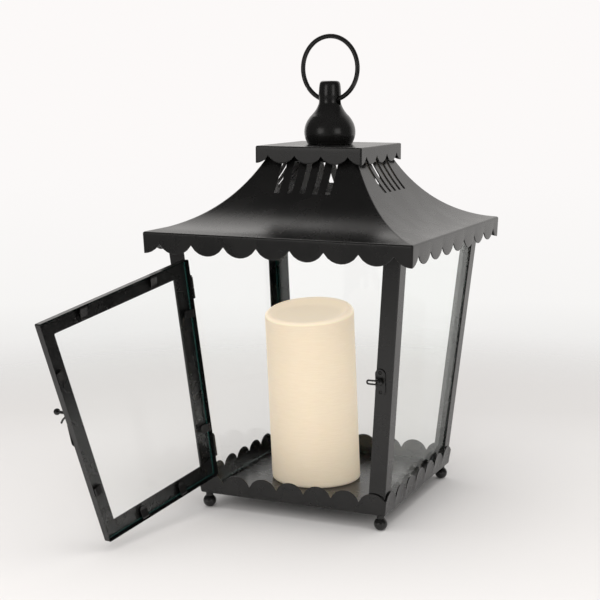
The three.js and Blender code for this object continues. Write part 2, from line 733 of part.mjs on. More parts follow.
const candle = group(lantern, [...CANDLE_CENTRE, BASE_Z + SHEET + GAP]);
const WELL_RADIUS = 35.4;
const WELL_DEPTH = 6;
const SETTLE_DEPTH = 18; // the climb of the rim dies out this far below it
const INSERT_RADIUS = 6;
const INSERT_TOP = CANDLE_HEIGHT - WELL_DEPTH - 2.5; // the light glows through the wax above it

// Leans the whole candle and lets its rim climb towards the back.
function settle(geometry) {
  const position = geometry.attributes.position;
  for (let i = 0; i < position.count; i += 1) {
    const [x, y, z] = [position.getX(i), position.getY(i), position.getZ(i)];
    const nearTop = THREE.MathUtils.clamp(1 - (CANDLE_HEIGHT - z) / SETTLE_DEPTH, 0, 1);
    position.setX(i, x + CANDLE_LEAN * z);
    position.setZ(i, z + CANDLE_RIM_RISE * y * nearTop);
  }
  return geometry;
}

function wax() {
  const h = CANDLE_HEIGHT;
  const floor = h - WELL_DEPTH;
  const r = CANDLE_RADIUS;
  return settle(turned([
    [0, floor],
    [0, INSERT_TOP + GAP],
    [INSERT_RADIUS + GAP, INSERT_TOP + GAP],
    [INSERT_RADIUS + GAP, CASE_HEIGHT + 0.7],
    [CASE_RADIUS + GAP, CASE_HEIGHT + 0.7],
    [CASE_RADIUS + GAP, 0],
    [r - 1.4, 0],
    [r, 1.8],
    [r, h - 2.2],
    [r - 0.8, h - 0.5],
    [r - 2.2, h],
    [r - 3.6, h - 1.2],
    [WELL_RADIUS, h - 3],
    [WELL_RADIUS - 6, floor + 1.5],
    [WELL_RADIUS - 14, floor],
    [0, floor],
  ], 32));
}

function ledInsert() {
  const [bottom, top] = [CASE_HEIGHT + 1, INSERT_TOP];
  const r = INSERT_RADIUS;
  return settle(turned([[0, bottom], [r, bottom], [r, top - 2], [r - 2, top - 0.4], [0, top]], 16));
}

const CELL_LENGTH = 50.5;
const CELL_RADIUS = 7.1;
const POCKET = { halfX: 26, halfY: 15.2, bottom: -1, top: 17.5 };

function batteryCase() {
  const body = rod("z", CASE_RADIUS, 0.6, CASE_HEIGHT, 32);
  const { halfX, halfY, bottom, top } = POCKET;
  const pocket = block(-halfX, halfX, -halfY, halfY, bottom, top);
  const switchWell = block(-5, 5, 18.5, 24.5, -1, 4);
  return cut(body, pocket, switchWell);
}

add("candle_wax", wax(), WAX, candle);
add("candle_led_insert", ledInsert(), IVORY_PLASTIC, candle);
add("candle_battery_case", settle(batteryCase()), IVORY_PLASTIC, candle);
const [lidX, lidY] = [POCKET.halfX - GAP, POCKET.halfY - GAP];
add("candle_battery_lid", settle(block(-lidX, lidX, -lidY, lidY, 0.6, 2.2)), IVORY_PLASTIC, candle);
[-1, 1].forEach((side, i) => {
  const cell = rod("x", CELL_RADIUS, -CELL_LENGTH / 2, CELL_LENGTH / 2, 16);
  const placed = cell.translate(0, side * (CELL_RADIUS + 0.25), 10);
  add(`candle_cell_${i + 1}`, settle(placed), CELL, candle);
});
const slider = join(block(-1.5, 2.5, 18.8, 24.2, 1.2, 3.7), block(-0.5, 1.5, 20, 23, 0.7, 2));
add("candle_switch", slider, BLACK_TRIM, candle);

export default lantern;
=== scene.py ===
"""A black metal candle lantern with a pagoda roof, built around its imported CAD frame.

Lengths are millimetres until a piece is placed; place() turns them into metres.
"""

import json
import math

import bmesh
import bpy
from mathutils import Matrix, Vector, noise

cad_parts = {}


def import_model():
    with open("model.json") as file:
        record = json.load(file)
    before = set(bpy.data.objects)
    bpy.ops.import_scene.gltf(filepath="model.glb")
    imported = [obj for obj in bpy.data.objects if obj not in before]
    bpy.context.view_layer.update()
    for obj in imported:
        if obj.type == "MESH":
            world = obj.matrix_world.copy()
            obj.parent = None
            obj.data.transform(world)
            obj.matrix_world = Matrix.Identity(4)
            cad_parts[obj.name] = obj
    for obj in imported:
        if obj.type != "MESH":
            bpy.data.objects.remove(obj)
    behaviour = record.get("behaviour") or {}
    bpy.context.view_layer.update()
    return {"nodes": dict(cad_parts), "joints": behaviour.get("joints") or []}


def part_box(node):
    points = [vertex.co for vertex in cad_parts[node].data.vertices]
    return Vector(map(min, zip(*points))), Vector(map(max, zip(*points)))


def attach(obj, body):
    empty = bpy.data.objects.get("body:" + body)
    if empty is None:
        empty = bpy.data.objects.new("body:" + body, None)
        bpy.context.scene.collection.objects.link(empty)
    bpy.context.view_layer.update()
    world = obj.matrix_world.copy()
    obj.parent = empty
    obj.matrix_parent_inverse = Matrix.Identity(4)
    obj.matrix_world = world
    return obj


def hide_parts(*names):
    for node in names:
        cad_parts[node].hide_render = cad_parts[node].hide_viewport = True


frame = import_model()

MM = 0.001
TAU = 2 * math.pi


def span(node):
    low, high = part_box(node)
    return low / MM, high / MM


# ---- sizes from the frame ----

SHEET = 1.0
GAP = 0.3
STUD_RADIUS = 3.0
TAPER = 0.09
TILT = math.atan(TAPER)
SLANT = TAPER * math.cos(TILT)
TRAY_PROUD = 0.5
POST_INSET = 0.8
POST_FLANGE = 14.4

tray_low, tray_high = span("tray")
eave_low, eave_high = span("roof_panel_right")
crown_high = span("roof_crown")[1]
cap_low, cap_high = span("cap")
post_low, post_high = span("post_front_left")
finial_low, finial_high = span("finial")
BASE_Z = tray_low.z
BASE_HALF = tray_high.x - TRAY_PROUD - TAPER * (tray_high.z - BASE_Z)
JOINTS = {joint["name"]: joint for joint in frame["joints"]}


def body_half(z):
    return BASE_HALF + TAPER * (z - BASE_Z)


def slope(z):
    return (z - BASE_Z) / math.cos(TILT)


# ---- materials ----


class Nodes:
    """A short way to write a node tree."""

    def __init__(self, tree):
        self.tree = tree
        tree.nodes.clear()

    def add(self, kind, settings=None, **sockets):
        node = self.tree.nodes.new(kind)
        for key, value in (settings or {}).items():
            setattr(node, key, value)
        for key, value in sockets.items():
            self.put(node, int(key[1:]) if key[1:].isdigit() else key.replace("_", " "), value)
        return node

    def put(self, node, key, value):
        if isinstance(value, bpy.types.NodeSocket):
            self.tree.links.new(value, node.inputs[key])
        else:
            node.inputs[key].default_value = value

    def math(self, operation, *values):
        sockets = {f"i{k}": value for k, value in enumerate(values)}
        return self.add("ShaderNodeMath", {"operation": operation}, **sockets).outputs[0]

    def vector(self, operation, a, b=(0, 0, 0), output="Vector"):
        node = self.add("ShaderNodeVectorMath", {"operation": operation}, i0=a, i1=b)
        return node.outputs[output]

    def height_of(self, vector):
        return self.add("ShaderNodeSeparateXYZ", i0=vector).outputs["Z"]

    def mix(self, share, first, second):
        node = self.add("ShaderNodeMixShader", Fac=share, i1=first.outputs[0], i2=second.outputs[0])
        return node.outputs[0]

    def noise(self, vector, scale, detail=3.0, roughness=0.5):
        sockets = {"Vector": vector, "Scale": scale, "Detail": detail, "Roughness": roughness}
        return self.add("ShaderNodeTexNoise", **sockets).outputs["Fac"]

    def ramp(self, factor, *stops):
        node = self.add("ShaderNodeValToRGB", Fac=factor)
        elements = node.color_ramp.elements
        while len(elements) < len(stops):
            elements.new(0.5)
        for element, (position, color) in zip(elements, stops):
            element.position = position
            element.color = (*color, 1) if len(color) == 3 else color
        return node.outputs["Color"]

    def mapped(self, vector, scale):
        return self.add("ShaderNodeMapping", Vector=vector, Scale=scale).outputs["Vector"]

    def span(self, factor, low, high, to_low=0.0, to_high=1.0):
        node = self.add("ShaderNodeMapRange", {"interpolation_type": "SMOOTHSTEP"})
        keys = ("Value", "From Min", "From Max", "To Min", "To Max")
        for key, value in zip(keys, (factor, low, high, to_low, to_high)):
            self.put(node, key, value)
        return node.outputs["Result"]

    def principled(self, color, roughness, normal, ior, metal=0.0):
        sockets = {"Base Color": color, "Roughness": roughness, "Normal": normal}
        return self.add("ShaderNodeBsdfPrincipled", **sockets, IOR=ior, Metallic=metal)

    def bump(self, height, strength, distance, normal=None):
        node = self.add("ShaderNodeBump", Height=height, Strength=strength, Distance=distance)
        if normal is not None:
            self.put(node, "Normal", normal)
        return node.outputs["Normal"]


def material(name):
    made = bpy.data.materials.new(name)
    made.use_nodes = True
    return made, Nodes(made.node_tree)


def grey(value, warmth=0.0):
    return (value * (1 + warmth), value, value * (1 - warmth))


def black_paint(name, dark, light, rough_low, rough_high, peel=0.006, wave=0.02):
    made, n = material(name)
    at = n.add("ShaderNodeTexCoord").outputs["Object"]
    cloud = n.noise(at, scale=38.0, detail=4.0, roughness=0.6)
    fine = n.noise(at, scale=900.0, detail=2.0)
    broad = n.noise(at, scale=14.0, detail=1.0)
    color = n.ramp(cloud, (0.3, grey(dark, 0.02)), (0.75, grey(light, 0.05)))
    roughness = n.span(cloud, 0.3, 0.7, rough_low, rough_high)
    normal = n.bump(fine, peel, distance=0.0001)
    normal = n.bump(broad, wave, distance=0.0015, normal=normal)
    shader = n.principled(color, roughness, normal, ior=1.5)
    n.add("ShaderNodeOutputMaterial", Surface=shader.outputs[0])
    return made


HEAD_ON_GLOSS = 0.013
GRAZING_GLOSS = 0.6


def clear_glass(name):
    """Glass without refraction: clear, with a gloss that grows towards grazing views."""
    made, n = material(name)
    facing = n.add("ShaderNodeLayerWeight", Blend=0.5).outputs["Facing"]
    gloss = n.math("MULTIPLY_ADD", n.math("POWER", facing, 5.0), GRAZING_GLOSS, HEAD_ON_GLOSS)
    at = n.add("ShaderNodeTexCoord").outputs["Object"]
    smear = n.noise(n.mapped(at, (1.0, 1.0, 0.35)), scale=12.0, detail=2.0)
    clear = n.ramp(smear, (0.3, (0.995, 0.998, 0.997)), (0.8, (0.990, 0.994, 0.992)))
    through = n.add("ShaderNodeBsdfTransparent", Color=clear)
    mirror = n.add("ShaderNodeBsdfGlossy", Color=(0.9, 0.93, 0.92, 1), Roughness=0.03)
    n.add("ShaderNodeOutputMaterial", Surface=n.mix(gloss, through, mirror))
    return made


SCATTER = (0.012, 0.007, 0.003)
# Painted light: a warm emission on the wax that stands in for light falling on it; faces turned up get
# more, where the roof shades them.
PAINTED_LIGHT_COLOR = (1.0, 0.87, 0.68, 1)
PAINTED_LIGHT_ON_TOPS = 0.50


def plain(
    name, low, high, rough, scale, bump_strength, stretch=(1, 1, 1), metal=0.0, soft=0.0, painted_light=0.0
):
    """A plain finish; soft scatters light inside; the last argument is painted light, an emission that
    brightens upright faces and faces turned up even more.
    """
    made, n = material(name)
    at = n.add("ShaderNodeTexCoord").outputs["Object"]
    grain = n.noise(n.mapped(at, stretch), scale, detail=5.0, roughness=0.6)
    cloud = n.noise(at, scale=45.0, detail=3.0)
    color = n.ramp(n.math("MULTIPLY_ADD", grain, 0.5, 0.25), (0.3, low), (0.8, high))
    roughness = n.span(cloud, 0.3, 0.75, rough - 0.06, rough + 0.08)
    normal = n.bump(grain, bump_strength, distance=0.0004)
    shader = n.principled(color, roughness, normal, ior=1.46, metal=metal)
    if soft:
        n.put(shader, "Subsurface Weight", soft)
        n.put(shader, "Subsurface Radius", SCATTER)
        n.put(shader, "Subsurface Scale", 1.0)
    if painted_light:
        # Painted light: emission on upright faces, stronger on faces turned up.
        up = n.height_of(n.add("ShaderNodeNewGeometry").outputs["Normal"])
        n.put(shader, "Emission Color", PAINTED_LIGHT_COLOR)
        n.put(shader, "Emission Strength", n.span(up, 0.0, 0.85, painted_light, PAINTED_LIGHT_ON_TOPS))
    n.add("ShaderNodeOutputMaterial", Surface=shader.outputs[0])
    return made


# Painted light on the wax's sides; the tops get the stronger painted light above.
PAINTED_LIGHT_ON_SIDES = 0.14
SHEET_BLACK = black_paint("black sheet", 0.003, 0.005, 0.25, 0.29)
TRIM_BLACK = black_paint("black fittings", 0.004, 0.006, 0.22, 0.30, peel=0.01, wave=0.01)
CLEAR = clear_glass("clear glass")
GLASS_EDGE = plain("glass edge", (0.008, 0.035, 0.030), (0.012, 0.055, 0.048), 0.14, 60.0, 0.05)
WAX = plain(
    "ivory wax", (0.80, 0.67, 0.49), (0.90, 0.78, 0.61), rough=0.48, scale=90.0,
    bump_strength=0.4, stretch=(1, 1, 14), soft=0.2, painted_light=PAINTED_LIGHT_ON_SIDES,
)
# The well's wax: smoother, and coloured darker as painted shade of the recess.
SHADED_WAX_WELL = plain(
    "ivory wax well in painted shade", (0.76, 0.65, 0.49), (0.79, 0.68, 0.52), rough=0.5, scale=60.0,
    bump_strength=0.06, soft=0.2, painted_light=PAINTED_LIGHT_ON_SIDES,
)
PLASTIC = plain("ivory plastic", (0.66, 0.56, 0.38), (0.72, 0.62, 0.44), 0.36, 400.0, 0.1)
STEEL = plain("zinc plated steel", (0.33, 0.32, 0.30), (0.46, 0.45, 0.43), 0.34, 300.0, 0.2, metal=1.0)
CELL_WRAP = plain("cell sleeve", (0.03, 0.045, 0.035), (0.05, 0.07, 0.05), 0.3, 200.0, 0.05)

# ---- mesh helpers ----


def link(made):
    bpy.context.scene.collection.objects.link(made)
    return made


def from_bmesh(name, bm):
    mesh = bpy.data.meshes.new(name)
    bm.to_mesh(mesh)
    bm.free()
    return link(bpy.data.objects.new(name, mesh))


def solid(name, bm, matrix):
    """An object of the mesh, which is in millimetres in the frame that matrix gives."""
    bmesh.ops.transform(bm, matrix=Matrix.Scale(MM, 4) @ matrix, verts=bm.verts)
    bmesh.ops.recalc_face_normals(bm, faces=bm.faces)
    return from_bmesh(name, bm)


def place(name, bm, matrix, body, nodes, materials, smooth_angle=38):
    """Makes one piece of the visual model."""
    made = solid(name, bm, matrix)
    mesh = made.data
    for item in materials:
        mesh.materials.append(item)
    mesh.polygons.foreach_set("use_smooth", [True] * len(mesh.polygons))
    mesh.set_sharp_from_angle(angle=math.radians(smooth_angle))
    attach(made, body)
    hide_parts(*nodes)
    return made


def place_trim(name, bm, matrix, body, node, edge=None):
    """A painted fitting; edge is what soften() takes."""
    made = place(name, bm, matrix, body, [node], [TRIM_BLACK])
    return soften(made, *edge) if edge else made


def place_body_sheet(name, bm, nodes, edge):
    made = place(name, bm, Matrix.Identity(4), "root", nodes, [SHEET_BLACK])
    return soften(made, edge, 1, 60)


def settle_modifiers(made):
    """Applies the modifiers and takes their mesh."""
    graph = bpy.context.evaluated_depsgraph_get()
    mesh = bpy.data.meshes.new_from_object(made.evaluated_get(graph))
    made.modifiers.clear()
    made.data = mesh
    return made


def soften(made, width, segments=2, angle=40):
    """Rounds the sharp edges and evens out the shading."""
    edge = made.modifiers.new("edges", "BEVEL")
    edge.width = width * MM
    edge.segments = segments
    edge.limit_method = "ANGLE"
    edge.angle_limit = math.radians(angle)
    edge.use_clamp_overlap = True
    even = made.modifiers.new("shading", "WEIGHTED_NORMAL")
    even.keep_sharp = True
    return settle_modifiers(made)


def carve(made, cutters):
    """Cuts the cutter objects out of a piece and removes them."""
    for cutter in cutters:
        step = made.modifiers.new("cut", "BOOLEAN")
        step.operation = "DIFFERENCE"
        step.solver = "EXACT"
        step.object = cutter
    settle_modifiers(made)
    for cutter in cutters:
        bpy.data.objects.remove(cutter)
    return made


def join(bm, part, matrix):
    """Moves the part and adds its mesh to bm."""
    bmesh.ops.transform(part, matrix=matrix, verts=part.verts)
    carried = bpy.data.meshes.new("carried")
    part.to_mesh(carried)
    part.free()
    bm.from_mesh(carried)
    bpy.data.meshes.remove(carried)
    return bm


def loft(rings, wrap=False, bm=None):
    """Faces between closed rings; wrap joins the last ring to the first, else both ends are capped."""
    bm = bm or bmesh.new()
    rows = [[bm.verts.new(p) for p in ring] for ring in rings]
    pairs = list(zip(rows, rows[1:]))
    if wrap:
        pairs.append((rows[-1], rows[0]))
    for low, high in pairs:
        count = len(low)
        for i in range(count):
            j = (i + 1) % count
            bm.faces.new((low[i], low[j], high[j], high[i]))
    if not wrap:
        bm.faces.new(list(reversed(rows[0])))
        bm.faces.new(rows[-1])
    return bm, rows


def lathe(profile, sides=64, wobble=None):
    """A round solid from [radius, height] pairs; a radius of 0 is a pole."""
    bm = bmesh.new()
    rows = []
    for r, z in profile:
        if r < 1e-6:
            rows.append([bm.verts.new((0, 0, z))])
            continue
        ring = []
        for i in range(sides):
            a = TAU * i / sides
            p = Vector((r * math.cos(a), r * math.sin(a), z))
            ring.append(bm.verts.new(wobble(p) if wobble else p))
        rows.append(ring)
    for low, high in zip(rows, rows[1:]):
        for i in range(sides):
            j = (i + 1) % sides
            if len(low) == 1:
                bm.faces.new((low[0], high[j], high[i]))
            elif len(high) == 1:
                bm.faces.new((low[i], low[j], high[0]))
            else:
                bm.faces.new((low[i], low[j], high[j], high[i]))
    return bm


def arc(cx, cy, r, start, end, steps):
    """Points of an arc, angles in degrees."""
    angles = [math.radians(start + (end - start) * i / steps) for i in range(steps + 1)]
    return [(cx + r * math.cos(a), cy + r * math.sin(a)) for a in angles]


def smooth_line(points, steps):
    """A Catmull-Rom line through the points."""
    points = [Vector(p) for p in points]
    line = []
    last = len(points) - 1
    for i in range(last):
        before = points[i - 1] if i > 0 else points[0] * 2 - points[1]
        after = points[i + 2] if i + 2 <= last else points[last] * 2 - points[last - 1]
        for s in range(steps):
            t = s / steps
            a, b, c, d = before, points[i], points[i + 1], after
            square, cube = 2 * a - 5 * b + 4 * c - d, 3 * b - a - 3 * c + d
            line.append(0.5 * (2 * b + (c - a) * t + square * t * t + cube * t ** 3))
    line.append(points[last])
    return line


def tube(line, radius, sides=12, bm=None):
    """A round wire along a line of points, with rounded ends."""
    line = [Vector(p) for p in line]
    rings = []
    side = None
    for i, point in enumerate(line):
        along = (line[min(i + 1, len(line) - 1)] - line[max(i - 1, 0)]).normalized()
        if side is None:
            side = along.orthogonal().normalized()
        side = (side - along * side.dot(along)).normalized()
        other = along.cross(side)
        shares = [1.0]
        if i in (0, len(line) - 1):
            shares = [0.5, 0.9, 1.0] if i == 0 else [1.0, 0.9, 0.5]
        for share in shares:
            shift = radius * (1 - math.sqrt(1 - share * share)) if share < 1 else 0.0
            push = (0.0 if share == 1 else (radius - shift) * 0.6) * (-1 if i == 0 else 1)
            centre = point + along * push
            turns = [TAU * k / sides for k in range(sides)]
            reach = radius * share
            rings.append([centre + reach * (side * math.cos(a) + other * math.sin(a)) for a in turns])
    bm, _ = loft(rings, bm=bm)
    return bm


def rounded(polygon, radius, steps=4):
    """The polygon's corners, each as an arc of the radius."""
    count = len(polygon)
    line = []
    for i in range(count):
        p = Vector(polygon[i])
        u = (Vector(polygon[i - 1]) - p).normalized()
        v = (Vector(polygon[(i + 1) % count]) - p).normalized()
        half = u.angle(v) / 2
        centre = p + (u + v).normalized() * radius / math.sin(half)
        start = (p + u * radius / math.tan(half)) - centre
        end = (p + v * radius / math.tan(half)) - centre
        for k in range(steps + 1):
            t = k / steps
            line.append(centre + start.slerp(end, t) if start.length > 1e-9 else p)
    return line


def slab(polygon, y0, y1, bm=None):
    """A plate of an X-Z outline between two depths, with the faces of its rim."""
    bm = bm or bmesh.new()
    front = [bm.verts.new((x, y0, z)) for x, z in polygon]
    back = [bm.verts.new((x, y1, z)) for x, z in polygon]
    bm.faces.new(front)
    bm.faces.new(list(reversed(back)))
    rim = []
    for i in range(len(front)):
        j = (i + 1) % len(front)
        rim.append(bm.faces.new((front[j], front[i], back[i], back[j])))
    return bm, rim


def bent_strip(path, thickness, widths, bm=None):
    """A strip of sheet that follows a path in X-Y; widths are its half widths along Z."""
    bm = bm or bmesh.new()
    path = [Vector(p) for p in path]
    rings = []
    for i, p in enumerate(path):
        along = (path[min(i + 1, len(path) - 1)] - path[max(i - 1, 0)]).normalized()
        across = Vector((-along.y, along.x)) * thickness
        w = widths[i]
        q = p + across
        rings.append([(p.x, p.y, -w), (p.x, p.y, w), (q.x, q.y, w), (q.x, q.y, -w)])
    loft(rings, bm=bm)
    return bm


def turn(degrees, axis="Z"):
    return Matrix.Rotation(math.radians(degrees), 4, axis)


def shift(x, y, z):
    return Matrix.Translation((x, y, z))


# ---- scalloped sheet ----


FOLD = 1.3


def scallop_columns(half, pitch, per_arc):
    """Places along a side, with the row centred on a whole arc; an even per_arc includes every cusp."""
    step = pitch / per_arc
    count = int(half / step + 1e-6)
    inner = [i * step for i in range(-count, count + 1)]
    trimmed = [x for x in inner if abs(x) < half - 0.35 * step]
    return [-half, *trimmed, half]


def scallop_rise(x, pitch, radius):
    """How far the edge stands back from the crown at x."""
    u = x - pitch * math.floor(x / pitch + 0.5)
    return radius - math.sqrt(radius * radius - u * u)


CORNER_STEPS = 4


def scallops(half, pitch, radius, per_arc):
    columns = scallop_columns(half - FOLD, pitch, per_arc)
    return columns, [scallop_rise(x, pitch, radius) for x in columns]


def square_ring(half, xs, zs, radius):
    """Points round a square of half width half, with corners of the radius."""
    side = [Vector((x, -half, z)) for x, z in zip(xs, zs)]
    for i in range(1, CORNER_STEPS):
        a = math.pi / 2 * i / CORNER_STEPS
        x = half - radius + radius * math.sin(a)
        y = -half + radius - radius * math.cos(a)
        side.append(Vector((x, y, zs[-1])))
    ring = []
    for k in range(4):
        spin = Matrix.Rotation(k * math.pi / 2, 3, "Z")
        ring += [spin @ p for p in side]
    return ring


def scaled(columns, half):
    factor = half / columns[-1]
    return [x * factor for x in columns]


def inner_fold(offset):
    return max(FOLD - offset, 0.35)


def edge_rows(wall, tip, columns, rises, sign, lean):
    """Rows down an outer wall, round its scalloped rim and back up the inner wall.

    wall is (half, z) of the outer wall's start, tip the crown's height, and sign is +1 where the
    crowns point up.
    """
    half, start = wall
    rows = []
    ends = [tip - sign * rise for rise in rises]

    def row(share, inset, lift):
        h = half + lean * share - inset
        r = inner_fold(inset)
        xs = scaled(columns, h - r)
        zs = [start + (end - sign * lift - start) * share for end in ends]
        rows.append(square_ring(h, xs, zs, r))

    for share in (0.0, 0.25, 0.5, 0.75, 0.93):
        row(share, 0.0, 0.3)
    for inset, lift in ((0.0, 0.28), (0.14, 0.08), (0.5, 0.0), (0.86, 0.08), (1.0, 0.28)):
        row(1.0, inset, lift)
    for share in (0.93, 0.75, 0.5, 0.25, 0.0):
        row(share, SHEET, 0.3)
    return rows


def flat_rows(profile, columns):
    rows = []
    for h, z, r in profile:
        xs = scaled(columns, h - r)
        rows.append(square_ring(h, xs, [z] * len(xs), r))
    return rows


def stud_hole(columns, z):
    """The edge of the hole that the finial's stud passes through."""
    radius = STUD_RADIUS + GAP
    xs = scaled(columns, 0.1)
    return square_ring(radius, xs, [z] * len(xs), radius - 0.1)


# ---- the tray and its feet ----

TRAY_PITCH = 25.1
TRAY_ARC = 13.4
FLAT_MARGIN = 6


def tray():
    bend = 1.5
    top = tray_high.z
    outer = lambda z: body_half(z) + TRAY_PROUD
    half_top = outer(top)
    columns, rises = scallops(half_top, TRAY_PITCH, TRAY_ARC, 10)
    wall_start = BASE_Z + bend
    start_half = outer(wall_start)
    wall = (start_half, wall_start)
    walls = edge_rows(wall, top, columns, rises, 1, half_top - start_half)
    under = [
        (outer(BASE_Z) - FLAT_MARGIN, BASE_Z, FOLD),
        *[
            (start_half - bend + bend * math.sin(a), wall_start - bend * math.cos(a), FOLD)
            for a in (0.0, 0.3, 0.65, 1.0, 1.3)
        ],
    ]
    inner_bend = bend - SHEET + 0.2
    inner_half = start_half - SHEET
    floor = BASE_Z + SHEET
    inner = inner_fold(1)
    over = [
        (inner_half - inner_bend + inner_bend * math.sin(a), floor + inner_bend * (1 - math.cos(a)), inner)
        for a in (1.2, 0.8, 0.4, 0.0)
    ]
    over.append((outer(BASE_Z) - FLAT_MARGIN, floor, inner))
    bm, _ = loft(flat_rows(under, columns) + walls + flat_rows(over, columns))
    return bm


place_body_sheet("scalloped_tray", tray(), ["tray"], 0.12)

CORNERS = {"front_left": 0, "front_right": 90, "back_right": 180, "back_left": 270}


def ball_foot():
    low, high = span("foot_front_left")
    radius = (high.x - low.x) / 2
    pad = 2.0
    centre = math.sqrt(radius ** 2 - pad ** 2)
    collar = 3.2
    start = math.degrees(math.asin(-centre / radius))
    end = math.degrees(math.acos(collar / radius))
    ball = arc(0, centre, radius * 0.999, start, end, 18)
    neck = BASE_Z - GAP
    flare = collar + 0.35
    profile = [(0, 0), (pad * 0.8, 0), *ball, (collar, neck - 0.5), (flare, neck - 0.25), (flare, neck)]
    return lathe([*profile, (0, neck)], 40)


for corner, degrees in CORNERS.items():
    low, high = span(f"foot_{corner}")
    middle = (low + high) / 2
    where = shift(middle.x, middle.y, 0) @ turn(degrees)
    place_trim(f"ball_foot_{corner}", ball_foot(), where, "root", f"foot_{corner}")

# ---- posts and header ----


def post():
    w = POST_FLANGE
    bend = 1.2
    inner = 0.45
    section = [(0.0, w), *arc(bend, bend, bend, 180, 270, 5), (w, 0.0), (w, SHEET)]
    section += [*arc(SHEET + inner, SHEET + inner, inner, 270, 180, 3), (SHEET, w)]
    bottom, top = post_low.z, post_high.z
    corner = body_half(bottom) - POST_INSET
    rings = []
    for i in range(9):
        z = bottom + (top - bottom) * i / 8
        lean = TAPER * (z - bottom)
        rings.append([(x - corner - lean, y - corner - lean, z) for x, y in section])
    return loft(rings)[0]


for corner, degrees in CORNERS.items():
    nodes = [f"post_{corner}"]
    made = place(
        f"angle_post_{corner}", post(), turn(degrees), "root", nodes, [SHEET_BLACK]
    )
    soften(made, 0.25, 2, 60)

# ---- roof and cap ----

SKIRT_PITCH = 29.67
SKIRT_ARC = 17.3
SKIRT_LEAN = 0.6
EAVE_HALF = eave_high.x
EAVE_Z = 243.5
VENT_PITCH = 11.65
VENT_HALF = 2.35
VENT_BOTTOM = 274.5
VENT_TOP = 300.0
VENTS_BESIDE = 2  # on either side of the middle one
VENT_STRIDE = 5  # columns from one vent to the next
VENT_REACH = VENT_STRIDE * VENTS_BESIDE + 1
VENT_ROWS = 6
FIRST_VENT_ROW = 3
SKIRT_ROWS = 18
CURVE_END = 0.985
ROOF_TOP_HALF = 37.0
ROOF_CURVE = [(39.5, 306.4), (56.1, 273.2), (81.5, 248.1), (EAVE_HALF, EAVE_Z)]


def roof_points():
    """Points of the hollow roof curve with rows exactly at the two ends of the vents."""
    a, b, c, d = [Vector(p) for p in ROOF_CURVE]

    def at(t):
        s = 1 - t
        return a * s ** 3 + b * 3 * s * s * t + c * 3 * s * t * t + d * t ** 3

    def solve(z):
        low, high = 0.0, 1.0
        for _ in range(40):
            middle = (low + high) / 2
            low, high = (middle, high) if at(middle).y > z else (low, middle)
        return low

    top, bottom = solve(VENT_TOP), solve(VENT_BOTTOM)
    shares = [0.0, *[top + (bottom - top) * i / VENT_ROWS for i in range(VENT_ROWS + 1)]]
    shares += [bottom + (CURVE_END - bottom) * i / SKIRT_ROWS for i in range(1, SKIRT_ROWS + 1)]
    points = []
    for t in shares:
        p = at(t)
        ahead = (at(min(t + 0.001, 1)) - at(max(t - 0.001, 0))).normalized()
        points.append((p, Vector((ahead.y, -ahead.x))))
    return points


def roof():
    columns, rises = scallops(EAVE_HALF, SKIRT_PITCH, SKIRT_ARC, 8)
    middle = len(columns) // 2
    crown_half = EAVE_HALF - SKIRT_LEAN

    def vent_x(i, half):
        """Column i's place among the vents, whose sides are the columns beside their middle ones."""
        k = i - middle
        past = abs(k) - VENT_REACH
        if past > 0:
            start = VENTS_BESIDE * VENT_PITCH + VENT_HALF
            return math.copysign(start + (half - start) * past / (middle - VENT_REACH), k)
        nearest = round(k / VENT_STRIDE)
        rest = k - VENT_STRIDE * nearest
        if abs(rest) <= 1:
            return nearest * VENT_PITCH + rest * VENT_HALF
        side = math.copysign(1, rest)
        between = (abs(rest) - 1) * (VENT_PITCH - 2 * VENT_HALF) / (VENT_STRIDE - 2)
        return nearest * VENT_PITCH + side * (VENT_HALF + between)

    def ring(half, z, radius):
        straight = half - radius
        share = min(max((VENT_BOTTOM - z) / (VENT_BOTTOM - EAVE_Z - 8), 0), 1)
        share = share * share * (3 - 2 * share)
        factor = straight / columns[-1]
        xs = [vent_x(i, straight) * (1 - share) + x * factor * share for i, x in enumerate(columns)]
        return square_ring(half, xs, [z] * len(xs), radius)

    curve = roof_points()
    bend = 1.6
    outer = [stud_hole(columns, crown_high.z), ring(ROOF_TOP_HALF, crown_high.z, FOLD)]
    outer += [ring(p.x, p.y, FOLD) for p, _ in curve]
    below_crown = crown_high.z - SHEET
    inner = [stud_hole(columns, below_crown), ring(ROOF_TOP_HALF - SHEET, below_crown, inner_fold(1))]
    for p, n in curve:
        q = p + n * SHEET
        inner.append(ring(q.x, q.y, inner_fold(1)))
    last = curve[-1][0]
    corner = Vector((EAVE_HALF, EAVE_Z))
    below = Vector((EAVE_HALF - 0.02, EAVE_Z - bend))
    for t in (0.25, 0.5, 0.75):
        p = last * (1 - t) ** 2 + corner * 2 * t * (1 - t) + below * t * t
        outer.append(ring(p.x, p.y, FOLD))
        q = p + Vector((-SHEET * math.sin(t * math.pi / 2), -SHEET * math.cos(t * math.pi / 2)))
        inner.append(ring(q.x, q.y, inner_fold(1)))
    skirt = edge_rows((below.x, below.y), eave_low.z, columns, rises, -1, crown_half - EAVE_HALF)
    bm, rows = loft(outer + skirt + list(reversed(inner)), wrap=True)
    cut_vents(bm, rows, len(columns), middle)
    return bm


